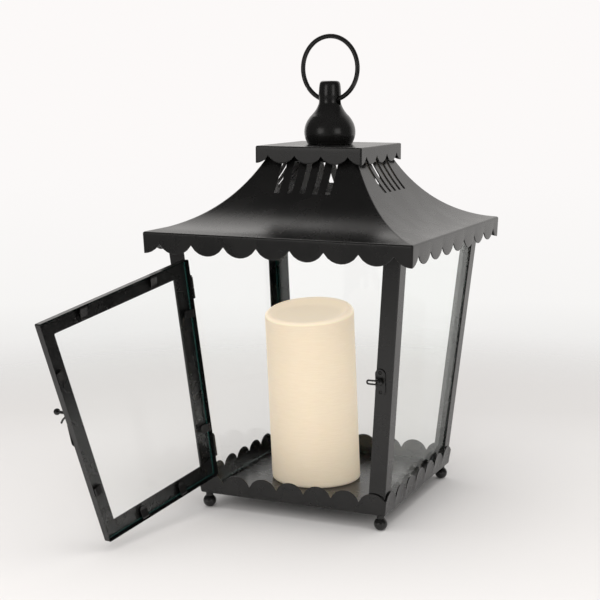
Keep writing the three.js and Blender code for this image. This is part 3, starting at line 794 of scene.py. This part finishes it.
def cut_vents(bm, rows, count, middle):
    """Opens the vents through the outer and inner sheets and walls their sides."""
    per_side = count + CORNER_STEPS - 1
    total = 4 * per_side
    top, bottom = FIRST_VENT_ROW, FIRST_VENT_ROW + VENT_ROWS
    inner_row = lambda row: len(rows) - 1 - row
    doomed = []
    walls = []
    for side in range(4):
        for vent in range(-VENTS_BESIDE, VENTS_BESIDE + 1):
            left = side * per_side + middle + VENT_STRIDE * vent - 1
            right = left + 2
            loop = [(bottom, i) for i in range(left, right)]
            loop += [(row, right) for row in range(bottom, top, -1)]
            loop += [(top, i) for i in range(right, left, -1)]
            loop += [(row, left) for row in range(top, bottom)]
            for row in range(top, bottom):
                for i in range(left, right):
                    for a, b in ((row, row + 1), (inner_row(row), inner_row(row + 1))):
                        corners = [rows[a][i % total], rows[a][(i + 1) % total]]
                        corners += [rows[b][(i + 1) % total], rows[b][i % total]]
                        doomed.append(bm.faces.get(corners))
            outer = [rows[row][i % total] for row, i in loop]
            inner = [rows[inner_row(row)][i % total] for row, i in loop]
            walls.append((outer, inner))
    bmesh.ops.delete(bm, geom=[face for face in doomed if face], context="FACES_KEEP_BOUNDARY")
    for outer, inner in walls:
        for i in range(len(outer)):
            j = (i + 1) % len(outer)
            bm.faces.new((outer[i], outer[j], inner[j], inner[i]))
    loose = [v for v in bm.verts if not v.link_faces]
    bmesh.ops.delete(bm, geom=loose, context="VERTS")


ROOF_NODES = [*(f"roof_panel_{side}" for side in ("front", "right", "back", "left")), "roof_crown"]
place_body_sheet("pagoda_roof", roof(), ROOF_NODES, 0.15)

CAP_PITCH = 24.27
CAP_ARC = 14.4
CAP_HALF = cap_high.x


def cap():
    columns, rises = scallops(CAP_HALF, CAP_PITCH, CAP_ARC, 10)
    bend = 1.2
    top = cap_high.z
    flat_half = CAP_HALF - 5
    over = [(flat_half, top, FOLD)]
    over += [
        (CAP_HALF - bend + bend * math.sin(a), top - bend + bend * math.cos(a), FOLD)
        for a in (0, 0.35, 0.75, 1.15)
    ]
    low, inner = bend - 0.6, inner_fold(1)
    under = [
        (CAP_HALF - SHEET - low + low * math.sin(a), top - SHEET - low + low * math.cos(a), inner)
        for a in (1.15, 0.6, 0.0)
    ]
    under.append((flat_half, top - SHEET, inner))
    walls = edge_rows((CAP_HALF, top - bend), cap_low.z, columns, rises, -1, 0.0)
    rows = flat_rows(over, columns) + walls + flat_rows(under, columns)
    return loft([stud_hole(columns, top), *rows, stud_hole(columns, top - SHEET)], wrap=True)[0]


place_body_sheet("scalloped_cap", cap(), ["cap"], 0.12)

# ---- finial and carrying ring ----

ring_joint = JOINTS["ring_swing"]
RING_AXIS = Vector(ring_joint["axis"])
RING_TURN = math.degrees(math.atan2(RING_AXIS.y, RING_AXIS.x))
RING_Z = ring_joint["pos_m"][2] / MM
RING_HOLE = 3.9
FINIAL_FOOT = cap_high.z + GAP
FINIAL_LINE = [
    (19.7, FINIAL_FOOT + 0.5),
    (19.9, 314.4),
    (21.2, 317.4),
    (22.1, 321.2),
    (22.14, 324.6),
    (21.5, 328.4),
    (19.98, 332.2),
    (17.43, 336.1),
    (14.7, 339.1),
    (12.33, 342.2),
    (10.71, 345.2),
    (9.55, 348.3),
    (9.44, 351.4),
    (9.69, 355.1),
    (9.52, 358.9),
    (9.1, 363.5),
    (8.3, 366.0),
    (6.9, finial_high.z - 0.25),
    (5.4, finial_high.z - 0.02),
]


def finial():
    side = [(p.x, min(p.y, finial_high.z)) for p in smooth_line(FINIAL_LINE, 4)]
    end = finial_low.z
    stud = [(0, end), (2.5, end), (STUD_RADIUS, end + 0.5), (STUD_RADIUS, FINIAL_FOOT)]
    return lathe([*stud, (19.2, FINIAL_FOOT), *side, (0, finial_high.z)], 96)


made = place_trim("turned_finial", finial(), Matrix.Identity(4), "root", "finial")
hole = lathe([(0, -30), (RING_HOLE, -30), (RING_HOLE, 30), (0, 30)], 40)
ring_place = shift(0, 0, RING_Z) @ turn(RING_TURN)
carve(made, [solid("cutter", hole, ring_place @ turn(90, "Y"))])
soften(made, 0.35, 3, 35)


def carry_ring():
    low, high = span("carry_ring")
    wire = 2.0
    radius = (high.z - low.z) / 2 - wire
    rings = []
    steps, sides = 120, 16
    seam_at, seam_width, seam_depth = 1.2 * math.pi, 0.03, 0.12
    for i in range(steps):
        a = TAU * i / steps
        seam = 1 - seam_depth * math.exp(-((a - seam_at) / seam_width) ** 2)
        ring = []
        for k in range(sides):
            b = TAU * k / sides
            r = radius + wire * seam * math.cos(b)
            ring.append((r * math.cos(a), wire * seam * math.sin(b), r * math.sin(a) + radius))
        rings.append(ring)
    return loft(rings, wrap=True)[0]


place_trim("wire_carry_ring", carry_ring(), ring_place, "ring", "carry_ring")

# ---- the fixed panes ----


def face(index):
    return turn(90 * index) @ shift(0, -BASE_HALF, BASE_Z) @ Matrix.Rotation(TILT, 4, "X")


def board(half, z0, z1, side=0.0, end=0.0):
    low, high = z0 + end, z1 - end
    at = lambda z: half + SLANT * z - side
    return [(-at(low), low), (at(low), low), (at(high), high), (-at(high), high)]


GLASS = 2.0
PANE_Y = POST_INSET + SHEET + GAP
HEADER_BOTTOM = span("header_frame")[0].z
HEADER_TOP = span("header_frame")[1].z
PANE_BOTTOM = slope(BASE_Z + SHEET + GAP) + 0.3
PANE_TOP = slope(HEADER_BOTTOM - GAP) - 0.4


def pane(polygon, y0):
    bm, rim = slab(rounded(polygon, 1.5, 4), y0, y0 + GLASS)
    for item in rim:
        item.material_index = 1
    return bm


def glass_piece(name, bm, matrix, body, node):
    made = place(name, bm, matrix, body, [node], [CLEAR, GLASS_EDGE])
    return soften(made, 0.3, 2, 60)


CLIP_SHEET = 0.7
CLIP_HALF = 5.0
TAB_HALF = 3.5
TIP_RADIUS = 1.9
TIP_STEPS = 5
TAB_EDGE = (0.15, 1, 60)


def tip_widths(count):
    """Half widths of a tab whose first points round off its tip."""
    shares = [1 - math.sqrt(1 - (1 - i / TIP_STEPS) ** 2) for i in range(TIP_STEPS)]
    return [CLIP_HALF - TIP_RADIUS * share for share in shares] + [CLIP_HALF] * (count - TIP_STEPS)


def pane_clip():
    behind_glass = PANE_Y + GLASS + GAP
    behind_header = PANE_Y + SHEET + GAP
    bottom = PANE_TOP - 8
    top = slope(HEADER_TOP - SHEET) - GAP - 0.4
    line = [(bottom + TIP_RADIUS * i / TIP_STEPS, behind_glass + 0.7) for i in range(TIP_STEPS)]
    line += [(bottom + 2.2, behind_glass + 0.7), (PANE_TOP - 0.6, behind_glass + 0.7)]
    line += [(PANE_TOP + 0.6, behind_glass + 0.45), (PANE_TOP + 1.6, behind_header + 0.9)]
    line += [(PANE_TOP + 2.6, behind_header + 0.7), (top, behind_header + 0.7)]
    return bent_strip(line, -CLIP_SHEET, tip_widths(len(line)))


STRIP_TURN = Matrix(((0, 0, 1, 0), (0, 1, 0, 0), (1, 0, 0, 0), (0, 0, 0, 1)))

for name, index, inset in (("right", 1, 2.5), ("back", 2, 4.7), ("left", 3, 2.5)):
    wall = face(index)
    shape = board(BASE_HALF, PANE_BOTTOM, PANE_TOP, inset)
    glass_piece(f"pane_{name}", pane(shape, PANE_Y), wall, "root", f"glass_{name}")
    for end, x in (("a", -45), ("b", 45)):
        where = wall @ shift(x, 0, 0) @ STRIP_TURN
        node = f"pane_clip_{name}_{end}"
        place_trim(f"spring_tab_{name}_{end}", pane_clip(), where, "root", node, edge=TAB_EDGE)

# ---- the door ----

DOOR_Y = -TRAY_PROUD
DOOR_BOTTOM = 33.6
DOOR_TOP = 221.9
DOOR_BASE_HALF = 62.9
DOOR_DEPTH = 5.95
DOOR_STILE = 15.0
DOOR_RAIL = 14.2
HINGE_OFFSET = 3.8
DOOR_OPEN = 105.45  # degrees, as the photo shows it
DOOR_Z0 = slope(DOOR_BOTTOM)
DOOR_Z1 = slope(DOOR_TOP)
LATCH_Z = 128.5
LATCH_INSET = 4.5
LATCH_X = DOOR_BASE_HALF + SLANT * slope(LATCH_Z) - LATCH_INSET
HINGE_AXIS = Vector((-SLANT, 0, 1)).normalized()

front_face = face(0)
hinge_foot = Vector((-DOOR_BASE_HALF - HINGE_OFFSET, 0, 0))
door_place = (
    front_face
    @ Matrix.Translation(hinge_foot)
    @ turn(-DOOR_OPEN, HINGE_AXIS)
    @ Matrix.Translation(-hinge_foot)
)


def door_frame():
    """A folded ring: the wide face, a rounded fold and the shallow rim, with the sheet's thickness."""
    bend, inner = 1.2, 0.35
    end = DOOR_DEPTH + DOOR_Y
    section = [(1.0, DOOR_Y), (0.5, DOOR_Y)]
    fold = [(x / DOOR_STILE, y) for x, y in arc(bend, DOOR_Y + bend, bend, 270, 180, 5)]
    section += [*fold, (0.0, end), (SHEET / DOOR_STILE, end)]
    turned = arc(SHEET + inner, DOOR_Y + SHEET + inner, inner, 180, 270, 3)
    section += [(x / DOOR_STILE, y) for x, y in turned]
    section += [(0.5, DOOR_Y + SHEET), (1.0, DOOR_Y + SHEET)]
    rings = []
    for share, y in section:
        side = share * DOOR_STILE
        shape = board(DOOR_BASE_HALF, DOOR_Z0, DOOR_Z1, side, side * DOOR_RAIL / DOOR_STILE)
        radius = max(1.4 - side, 0.25)
        rings.append([(x, y, z) for x, z in rounded(shape, radius, 4)])
    return loft(rings, wrap=True)[0]


made = place(
    "folded_door_frame", door_frame(), door_place, "door", ["door_frame"], [SHEET_BLACK]
)
soften(made, 0.2, 2, 60)

DOOR_GLASS_Y = DOOR_Y + SHEET + GAP
inset = SHEET + GAP + 0.2
shape = board(DOOR_BASE_HALF, DOOR_Z0, DOOR_Z1, inset, inset)
glass_piece("door_pane", pane(shape, DOOR_GLASS_Y), door_place, "door", "door_glass")


def door_clip():
    """A tab that rises from its tip on the glass, bends over and stands against the rim."""
    reach = 10.5
    low = DOOR_GLASS_Y + GLASS + GAP
    high = DOOR_Y + DOOR_DEPTH - 0.2 - CLIP_SHEET
    line = [(-reach + 0.02 + TIP_RADIUS * i / TIP_STEPS, low) for i in range(TIP_STEPS)]
    line += [(2.3 - reach, low + 0.02), (3.4 - reach, low + 0.2), (-2.2, high - 0.18), (-1.4, high)]
    line += [(-1.1, high - 0.08), (-1.0, high - 0.4), (-1.0, low)]
    return bent_strip(line, CLIP_SHEET, [w - CLIP_HALF + TAB_HALF for w in tip_widths(len(line))])


stile_turn = math.degrees(math.atan(SLANT))
stile_x = lambda z: DOOR_BASE_HALF + SLANT * z - SHEET
clip_low, clip_high = slope(77.3), slope(176.5)
DOOR_CLIPS = (
    ("top_left", -40, DOOR_Z1 - SHEET, -90),
    ("top_right", 37, DOOR_Z1 - SHEET, -90),
    ("bottom_left", -22.7, DOOR_Z0 + SHEET, 90),
    ("bottom_right", 22.7, DOOR_Z0 + SHEET, 90),
    ("latch_low", stile_x(clip_low), clip_low, stile_turn),
    ("latch_high", stile_x(clip_high), clip_high, stile_turn),
    ("hinge_low", -stile_x(clip_low), clip_low, 180 - stile_turn),
    ("hinge_high", -stile_x(clip_high), clip_high, 180 - stile_turn),
)
for name, x, z, degrees in DOOR_CLIPS:
    where = door_place @ shift(x, 0, z) @ turn(degrees, "Y")
    node = f"door_clip_{name}"
    place_trim(f"glass_tab_{name}", door_clip(), where, "door", node, edge=TAB_EDGE)

# ---- hinges ----

KNUCKLE_RADIUS = 2.4
KNUCKLE_LENGTH = 9.0
PIN_RADIUS = 0.9
LEAF = 0.8
HINGE_EDGE = (0.15, 2, 60)


def knuckle(z0):
    """A rolled barrel with a bore."""
    z1 = z0 + KNUCKLE_LENGTH
    bore = PIN_RADIUS + GAP
    edge = 0.3
    section = [(bore, z0), (KNUCKLE_RADIUS - edge, z0), (KNUCKLE_RADIUS, z0 + edge)]
    section += [(KNUCKLE_RADIUS, z1 - edge), (KNUCKLE_RADIUS - edge, z1), (bore, z1)]
    angles = [TAU * i / 32 for i in range(32)]
    rings = [[(r * math.cos(a), r * math.sin(a), z) for a in angles] for r, z in section]
    return loft(rings, wrap=True)[0]


def fixed_leaf(low):
    barrel = knuckle(low)
    high = low + KNUCKLE_LENGTH
    leaf = rounded([(-11.5, low), (-1.6, low), (-1.6, high), (-11.5, high)], 1.2)
    slab(leaf, PANE_Y, PANE_Y + LEAF, barrel)
    return barrel


def hinge_pin(low):
    neck = KNUCKLE_LENGTH + 2 * GAP
    dome = KNUCKLE_LENGTH + GAP + 0.45
    pin = [(0, low), (PIN_RADIUS, low), (PIN_RADIUS, neck), (2, neck), *arc(1.0, dome, 1.0, 0, 90, 5)]
    return lathe([*pin, (0, dome + 1)], 24)


def swinging_leaf(low):
    barrel = knuckle(low)
    high = low + KNUCKLE_LENGTH
    x1 = HINGE_OFFSET * math.cos(math.radians(stile_turn)) - GAP
    leaf = [(x1 - 1.3, low), (x1, low), (x1, high), (x1 - 1.3, high)]
    slab(leaf, -0.4, DOOR_Y + DOOR_DEPTH - 0.6, barrel)
    return barrel


for name, height in (("lower", 58), ("upper", 196)):
    along = slope(height) / math.cos(math.radians(stile_turn))
    line = Matrix.Translation(hinge_foot) @ turn(-stile_turn, "Y") @ shift(0, 0, along)
    low = -KNUCKLE_LENGTH - GAP / 2
    fixed, moving = front_face @ line, door_place @ line
    node = f"hinge_{name}_post"
    place_trim(f"hinge_{name}_fixed", fixed_leaf(low), fixed, "root", node, edge=HINGE_EDGE)
    node = f"hinge_{name}_pin"
    place_trim(f"hinge_{name}_rod", hinge_pin(low), fixed, "root", node)
    node = f"hinge_{name}_door"
    place_trim(f"hinge_{name}_swinging", swinging_leaf(GAP / 2), moving, "door", node, edge=HINGE_EDGE)

# ---- latch on the door and keeper on the post ----

PLATE_LENGTH = 22.5
PLATE_WIDTH = 8.5
PLATE_THICK = 0.8
RIVET_SPACING = 8.2


def oblong(width, length):
    r = width / 2
    straight = length / 2 - r
    return arc(0, straight, r, 0, 180, 16) + arc(0, -straight, r, 180, 360, 16)


def fixing_plate(y, holes):
    """The oblong plate with dished holes."""
    bm, _ = slab(oblong(PLATE_WIDTH, PLATE_LENGTH), y, y + PLATE_THICK)
    dish = [(0, -1), (2.0, -1), (1.15, 0.6), (1.15, 3), (0, 3)]
    return bm, [lathe(dish, 24) for _ in range(holes)]


def rivet(radius, height, y, shank, depth):
    """A domed rivet, head outside y, with its shank running in to shank."""
    head = arc(0, 0, 1, 0, 90, 7)
    profile = [(0, -shank), (depth, -shank), (depth, -y), (radius, -y)]
    profile += [(radius * a, -y + height * b) for a, b in head[:-1]]
    return lathe([*profile, (0, -y + height)], 24)


def outward(matrix):
    """A lathe's axis turned to point out of the face."""
    return matrix @ turn(90, "X")


latch_place = door_place @ shift(LATCH_X, 0, slope(LATCH_Z))
LATCH_PLATE_Y = DOOR_Y - GAP - PLATE_THICK
ARM_THICK = 1.2
ARM_Y = LATCH_PLATE_Y - GAP - ARM_THICK
KNOB_X = -1
KNOB_Y = -16.8
KNOB_Z = 15.7
KNOB_RADIUS = 2.7
KNOB_STEM = 1.3
HOOK_X = 0.7
HOOK_WIRE = 0.85


def riveted(name, matrix, y, body, node, heights):
    bm, holes = fixing_plate(y, len(heights))
    made = place_trim(name, bm, matrix, body, node)
    places = [matrix @ shift(0, y, z) @ turn(-90, "X") for z in heights]
    carve(made, [solid("cutter", hole, where) for hole, where in zip(holes, places)])
    return soften(made, 0.18, 2, 50)


latch_holes = (-RIVET_SPACING, 0, RIVET_SPACING)
riveted("latch_back_plate", latch_place, LATCH_PLATE_Y, "door", "latch_plate", latch_holes)


def latch_lever():
    arm = [(-2.6, -2.6), (2.6, -2.6), (2.2, 8), (1.6, 16), (-2.6, 17.4), (-2.4, 8)]
    outline = rounded(arm, 1.2, 4)
    bm, _ = slab(outline, ARM_Y, ARM_Y + ARM_THICK)
    hook = [(ARM_Y + 0.5, 13.4), (ARM_Y - 3, 12.6), (-9.6, 10.4), (-12.4, 7.5)]
    tube(smooth_line([(HOOK_X, y, z) for y, z in hook], 6), HOOK_WIRE, 12, bm)
    tube([(KNOB_X, ARM_Y + 0.3, KNOB_Z), (KNOB_X, KNOB_Y, KNOB_Z)], KNOB_STEM, 16, bm)
    ball = lathe([(0, -KNOB_RADIUS), *arc(0, 0, KNOB_RADIUS, -84, 84, 20), (0, KNOB_RADIUS)], 32)
    return join(bm, ball, shift(KNOB_X, KNOB_Y, KNOB_Z))


place_trim("latch_arm", latch_lever(), latch_place, "latch", "latch_lever", edge=(0.2, 2, 60))
pivot = rivet(2.4, 1.4, ARM_Y - GAP, DOOR_Y + SHEET - 0.1, 1.1)
place_trim("latch_pivot_rivet", pivot, outward(latch_place), "door", "latch_pivot")


def plate_rivets(owner, where, body, *sizes):
    """The plate's two rivets, whose slot is bright_steel but which are drawn in the trim's black."""
    for name, z in (("high", RIVET_SPACING), ("low", -RIVET_SPACING)):
        node, at = f"{owner}_rivet_{name}", outward(where @ shift(0, 0, z))
        place_trim(f"{owner}_plate_rivet_{name}", rivet(*sizes), at, body, node)


plate_rivets("latch", latch_place, "door", 1.85, 0.24, LATCH_PLATE_Y - 0.02, DOOR_Y + SHEET - 0.1, 1.0)

KEEPER_X = 84.4
KEEPER_Y = POST_INSET - GAP - PLATE_THICK
LOOP_Y = -4.3
LOOP_WIRE = 0.74
LOOP_RISE = 1.0
LOOP_END = 73.9
keeper_place = front_face @ shift(KEEPER_X, 0, slope(LATCH_Z))
keeper_holes = (-RIVET_SPACING, RIVET_SPACING)
riveted("keeper_back_plate", keeper_place, KEEPER_Y, "root", "keeper_plate", keeper_holes)


def keeper_loop():
    half = 1.5
    left = LOOP_END - KEEPER_X + LOOP_WIRE + half
    low, high = LOOP_RISE - half, LOOP_RISE + half
    line = [(-0.6, LOOP_Y + 1.2, high), (-3, LOOP_Y, high), (left, LOOP_Y, high)]
    line += [(left - half * x, LOOP_Y, LOOP_RISE + half * y) for x, y in arc(0, 0, 1, 60, -60, 4)]
    line += [(left, LOOP_Y, low), (-3, LOOP_Y, low), (-0.6, LOOP_Y + 1.2, low)]
    bm = tube(smooth_line(line, 4), LOOP_WIRE, 12)
    profile = [(0, 0), (2.7, 0), (2.9, 0.2), (2.9, 2.0), (2.7, 2.8), (2.2, 3.5), (1.2, 4.1), (0, 4.3)]
    return join(bm, lathe(profile, 32), shift(0, KEEPER_Y - GAP, LOOP_RISE) @ turn(90, "X"))


place_trim("keeper_wire", keeper_loop(), keeper_place, "root", "keeper_loop")
plate_rivets("keeper", keeper_place, "root", 1.05, 0.2, KEEPER_Y + 0.45, POST_INSET - GAP / 2, 0.9)

# ---- the candle ----

CANDLE_CENTRE = (-10.8, -4.3)
CANDLE_RADIUS = 39.6
CANDLE_HEIGHT = 152.4
CANDLE_LEAN = -0.0456
CANDLE_RIM_RISE = 0.165
CASE_RADIUS = 32.5
CASE_HEIGHT = 19.0
WELL_DEPTH = 6.0
SETTLE_DEPTH = 18.0
INSERT_RADIUS = 6.0
INSERT_TOP = CANDLE_HEIGHT - WELL_DEPTH - 2.5
candle_place = shift(*CANDLE_CENTRE, BASE_Z + SHEET + GAP)


def settled(p):
    """The candle's lean, its climbing rim and the unevenness of the wax."""
    near_top = min(max(1 - (CANDLE_HEIGHT - p.z) / SETTLE_DEPTH, 0), 1)
    around = Vector((p.x, p.y, 0)) / CANDLE_RADIUS * 1.1
    wave = noise.noise(around + Vector((3.1, 0.7, 0))) * 0.5 + noise.noise(around * 2.3) * 0.25
    x = p.x + CANDLE_LEAN * p.z
    z = p.z + CANDLE_RIM_RISE * p.y * near_top + wave * near_top * near_top
    return Vector((x, p.y, z))


def wax():
    r, h = CANDLE_RADIUS, CANDLE_HEIGHT
    floor = h - WELL_DEPTH
    hollow = CASE_RADIUS + GAP
    core = INSERT_RADIUS + GAP
    foot, shoulder, steps = 3, h - 8, 24
    rim_radius = 4.2
    side = [(r, foot + (shoulder - foot) * i / steps) for i in range(steps + 1)]
    rim = arc(r - rim_radius, h - 4.6, rim_radius, 0, 125, 12)
    dish = [(31.0, h - 2.4), (27, h - 4.4), (20, h - 5.6), (12, floor), (4, floor)]
    well = [(p.x, p.y) for p in smooth_line(dish, 6)]
    roof_z = INSERT_TOP + GAP
    case_z = CASE_HEIGHT + 0.7
    profile = [(0.5, roof_z), (core, roof_z), (core, case_z), (hollow, case_z), (hollow, 0)]
    profile += [(r - 1.6, 0), (r - 0.6, 0.5), (r - 0.1, 1.5), *side, *rim, *well, (0.5, floor)]
    rings = []
    sides = 144
    for radius, z in profile:
        ring = []
        for i in range(sides):
            a = TAU * i / sides
            ring.append(settled(Vector((radius * math.cos(a), radius * math.sin(a), z))))
        rings.append(ring)
    bm, rows = loft(rings)
    # The well's faces take the second material, the wax painted darker as shade.
    start = len(profile) - 2 - len(well)
    shaded_well = {vertex for row in rows[start:] for vertex in row}
    for item in bm.faces:
        if all(vertex in shaded_well for vertex in item.verts):
            item.material_index = 1
    return bm


place("pillar_candle", wax(), candle_place, "root", ["candle_wax"], [WAX, SHADED_WAX_WELL], 50)


def led_light():
    top = INSERT_TOP
    bottom = CASE_HEIGHT + 1
    r = INSERT_RADIUS
    dome = arc(r - 2.2, top - 2.4, 2.2, 0, 70, 6)
    return lathe([(0, bottom), (r, bottom), (r, top - 2.4), *dome, (0, top - 0.05)], 40, settled)


light_nodes = ["candle_led_insert"]
place("candle_light", led_light(), candle_place, "root", light_nodes, [PLASTIC])

# ---- the CAD nodes that stay ----

KEPT = {
    "header_frame": SHEET_BLACK,
    "stud_nut": STEEL,
    "candle_battery_case": PLASTIC,
    "candle_battery_lid": PLASTIC,
    "candle_cell_1": CELL_WRAP,
    "candle_cell_2": CELL_WRAP,
    "candle_switch": TRIM_BLACK,
}
for name, finish in KEPT.items():
    for slot in frame["nodes"][name].material_slots:
        slot.material = finish

# ---- floor, light and camera ----


FLOOR_RADIUS = 3.0
FLOOR_FADE = (0.42, 0.85)
BACKWARDS = (-0.395, 0.918, 0)


def floor_material():
    made, n = material("pale floor")
    at = n.add("ShaderNodeTexCoord").outputs["Object"]
    apart = n.vector("LENGTH", at, output="Value")
    paper = n.noise(at, scale=120.0, detail=3.0)
    # Painted shade: the floor's colour darkens towards the back, away from the camera, as the light falls
    # off.
    behind = n.vector("DOT_PRODUCT", at, BACKWARDS, "Value")
    tone = n.math("ADD", n.math("MULTIPLY_ADD", behind, 1.8, 0.45), n.math("MULTIPLY", paper, 0.04))
    color = n.ramp(
        tone, (0.0, (0.712, 0.700, 0.695)), (0.75, (0.640, 0.630, 0.625)), (1.0, (0.600, 0.590, 0.584))
    )
    matte = n.add("ShaderNodeBsdfDiffuse", Color=color)
    clear = n.add("ShaderNodeBsdfTransparent")
    n.add("ShaderNodeOutputMaterial", Surface=n.mix(n.span(apart, *FLOOR_FADE), matte, clear))
    return made


def floor():
    bm = bmesh.new()
    bmesh.ops.create_circle(bm, cap_ends=True, radius=FLOOR_RADIUS, segments=64)
    made = from_bmesh("floor", bm)
    made.data.materials.append(floor_material())


DIFFUSE_LIGHT = (1.02, 1.005, 0.99, 1)
BACKDROP = (
    (0.0, (0.755, 0.747, 0.735)),
    (0.12, (0.76, 0.752, 0.742)),
    (0.44, (0.925, 0.915, 0.902)),
    (0.84, (0.965, 0.945, 0.938)),
    (1.0, (0.973, 0.948, 0.94)),
)
DARKEST_REFLECTION = 0.09


def world():
    """The backdrop for the camera, softboxes for reflections and an even light for the rest."""
    made = bpy.data.worlds.new("studio")
    bpy.context.scene.world = made
    made.use_nodes = True
    n = Nodes(made.node_tree)
    way = n.add("ShaderNodeTexCoord").outputs["Generated"]
    height = n.height_of(way)
    path = n.add("ShaderNodeLightPath").outputs
    level = n.vector("NORMALIZE", n.vector("MULTIPLY", way, (1, 1, 0)))

    def near(direction, aim, low, high):
        dot = n.vector("DOT_PRODUCT", direction, Vector(aim).normalized(), "Value")
        return n.span(dot, low, high)

    def heading(x, y, low, high):
        return near(level, (x, y, 0), low, high)

    def product(*factors):
        result = factors[0]
        for factor in factors[1:]:
            result = n.math("MULTIPLY", result, factor)
        return result

    tones = ((0.0, 0.95), (0.34, 0.95), (0.70, 0.45), (0.87, 0.10), (1.0, 0.08))
    fade = n.ramp(height, *((z, grey(tone)) for z, tone in tones))
    backdrop = product(heading(-0.199, 0.980, 0.52, 0.66), fade)
    ceiling = product(near(way, (-0.52, 0.53, 0.67), 0.945, 0.975), 1.5)
    band = product(n.span(height, -0.09, -0.05), n.span(height, 0.28, 0.34, 1.0, 0.0))
    left = product(heading(-0.34, -0.94, 0.970, 0.985), band, 1.7)
    right = product(heading(0.85, -0.53, 0.970, 0.985), band, 1.5)
    below = n.span(height, -0.26, -0.22, 1.0, 0.0)
    ground = product(below, heading(1, 0, -0.2, 0.5), 0.35)
    ground = n.math("ADD", ground, product(below, 0.42))
    shine = n.math("MAXIMUM", n.math("MAXIMUM", backdrop, ground), DARKEST_REFLECTION)
    for lamp in (ceiling, left, right):
        shine = n.math("ADD", shine, lamp)
    green, blue = (n.math("MULTIPLY", shine, share) for share in (0.975, 0.95))
    mirror = n.add("ShaderNodeCombineXYZ", i0=shine, i1=green, i2=blue).outputs[0]
    seen = n.ramp(n.span(height, -0.30, 0.0, 0.0, 1.0), *BACKDROP)

    def choose(ray, otherwise, color):
        return n.add("ShaderNodeMixRGB", Fac=path[ray], Color1=otherwise, Color2=color).outputs[0]

    final = choose("Is Camera Ray", choose("Is Glossy Ray", DIFFUSE_LIGHT, mirror), seen)
    back = n.add("ShaderNodeBackground", Color=final, Strength=1.0)
    n.add("ShaderNodeOutputWorld", Surface=back.outputs[0])


LAMP_COLOR = (1, 0.985, 0.97)
LAMP_SIZE = 1.2


def area(name, place_at, target, watts):
    data = bpy.data.lights.new(name, "AREA")
    data.shape = "DISK"
    data.size = LAMP_SIZE
    data.energy = watts
    data.color = LAMP_COLOR
    made = link(bpy.data.objects.new(name, data))
    made.location = place_at
    made.rotation_euler = (Vector(target) - Vector(place_at)).to_track_quat("-Z", "Y").to_euler()
    made.visible_glossy = False


def camera():
    """The camera solved from the photo's edges."""
    data = bpy.data.cameras.new("camera")
    made = link(bpy.data.objects.new("camera", data))
    right = Vector((0.918486, 0.395454, 0.00042))
    up = Vector((-0.064450, 0.148644, 0.986788))
    ahead = Vector((-0.390167, 0.906378, -0.162014))
    axes = Matrix((right, up, -ahead)).transposed().to_4x4()
    made.matrix_world = Matrix.Translation((0.456058, -1.083213, 0.369833)) @ axes
    data.sensor_width = 36.0
    data.lens = 80.77
    data.shift_x = -0.0316
    data.shift_y = -0.0023
    data.clip_start = 0.01
    data.clip_end = 50.0
    bpy.context.scene.camera = made


floor()
world()
area("top", (0.1, -0.1, 1.4), (0, 0, 0.1), watts=6.0)
area("front", (0.2, -1.6, 0.9), (0, 0, 0.15), watts=8.0)
camera()
bpy.context.scene.view_settings.view_transform = "Standard"
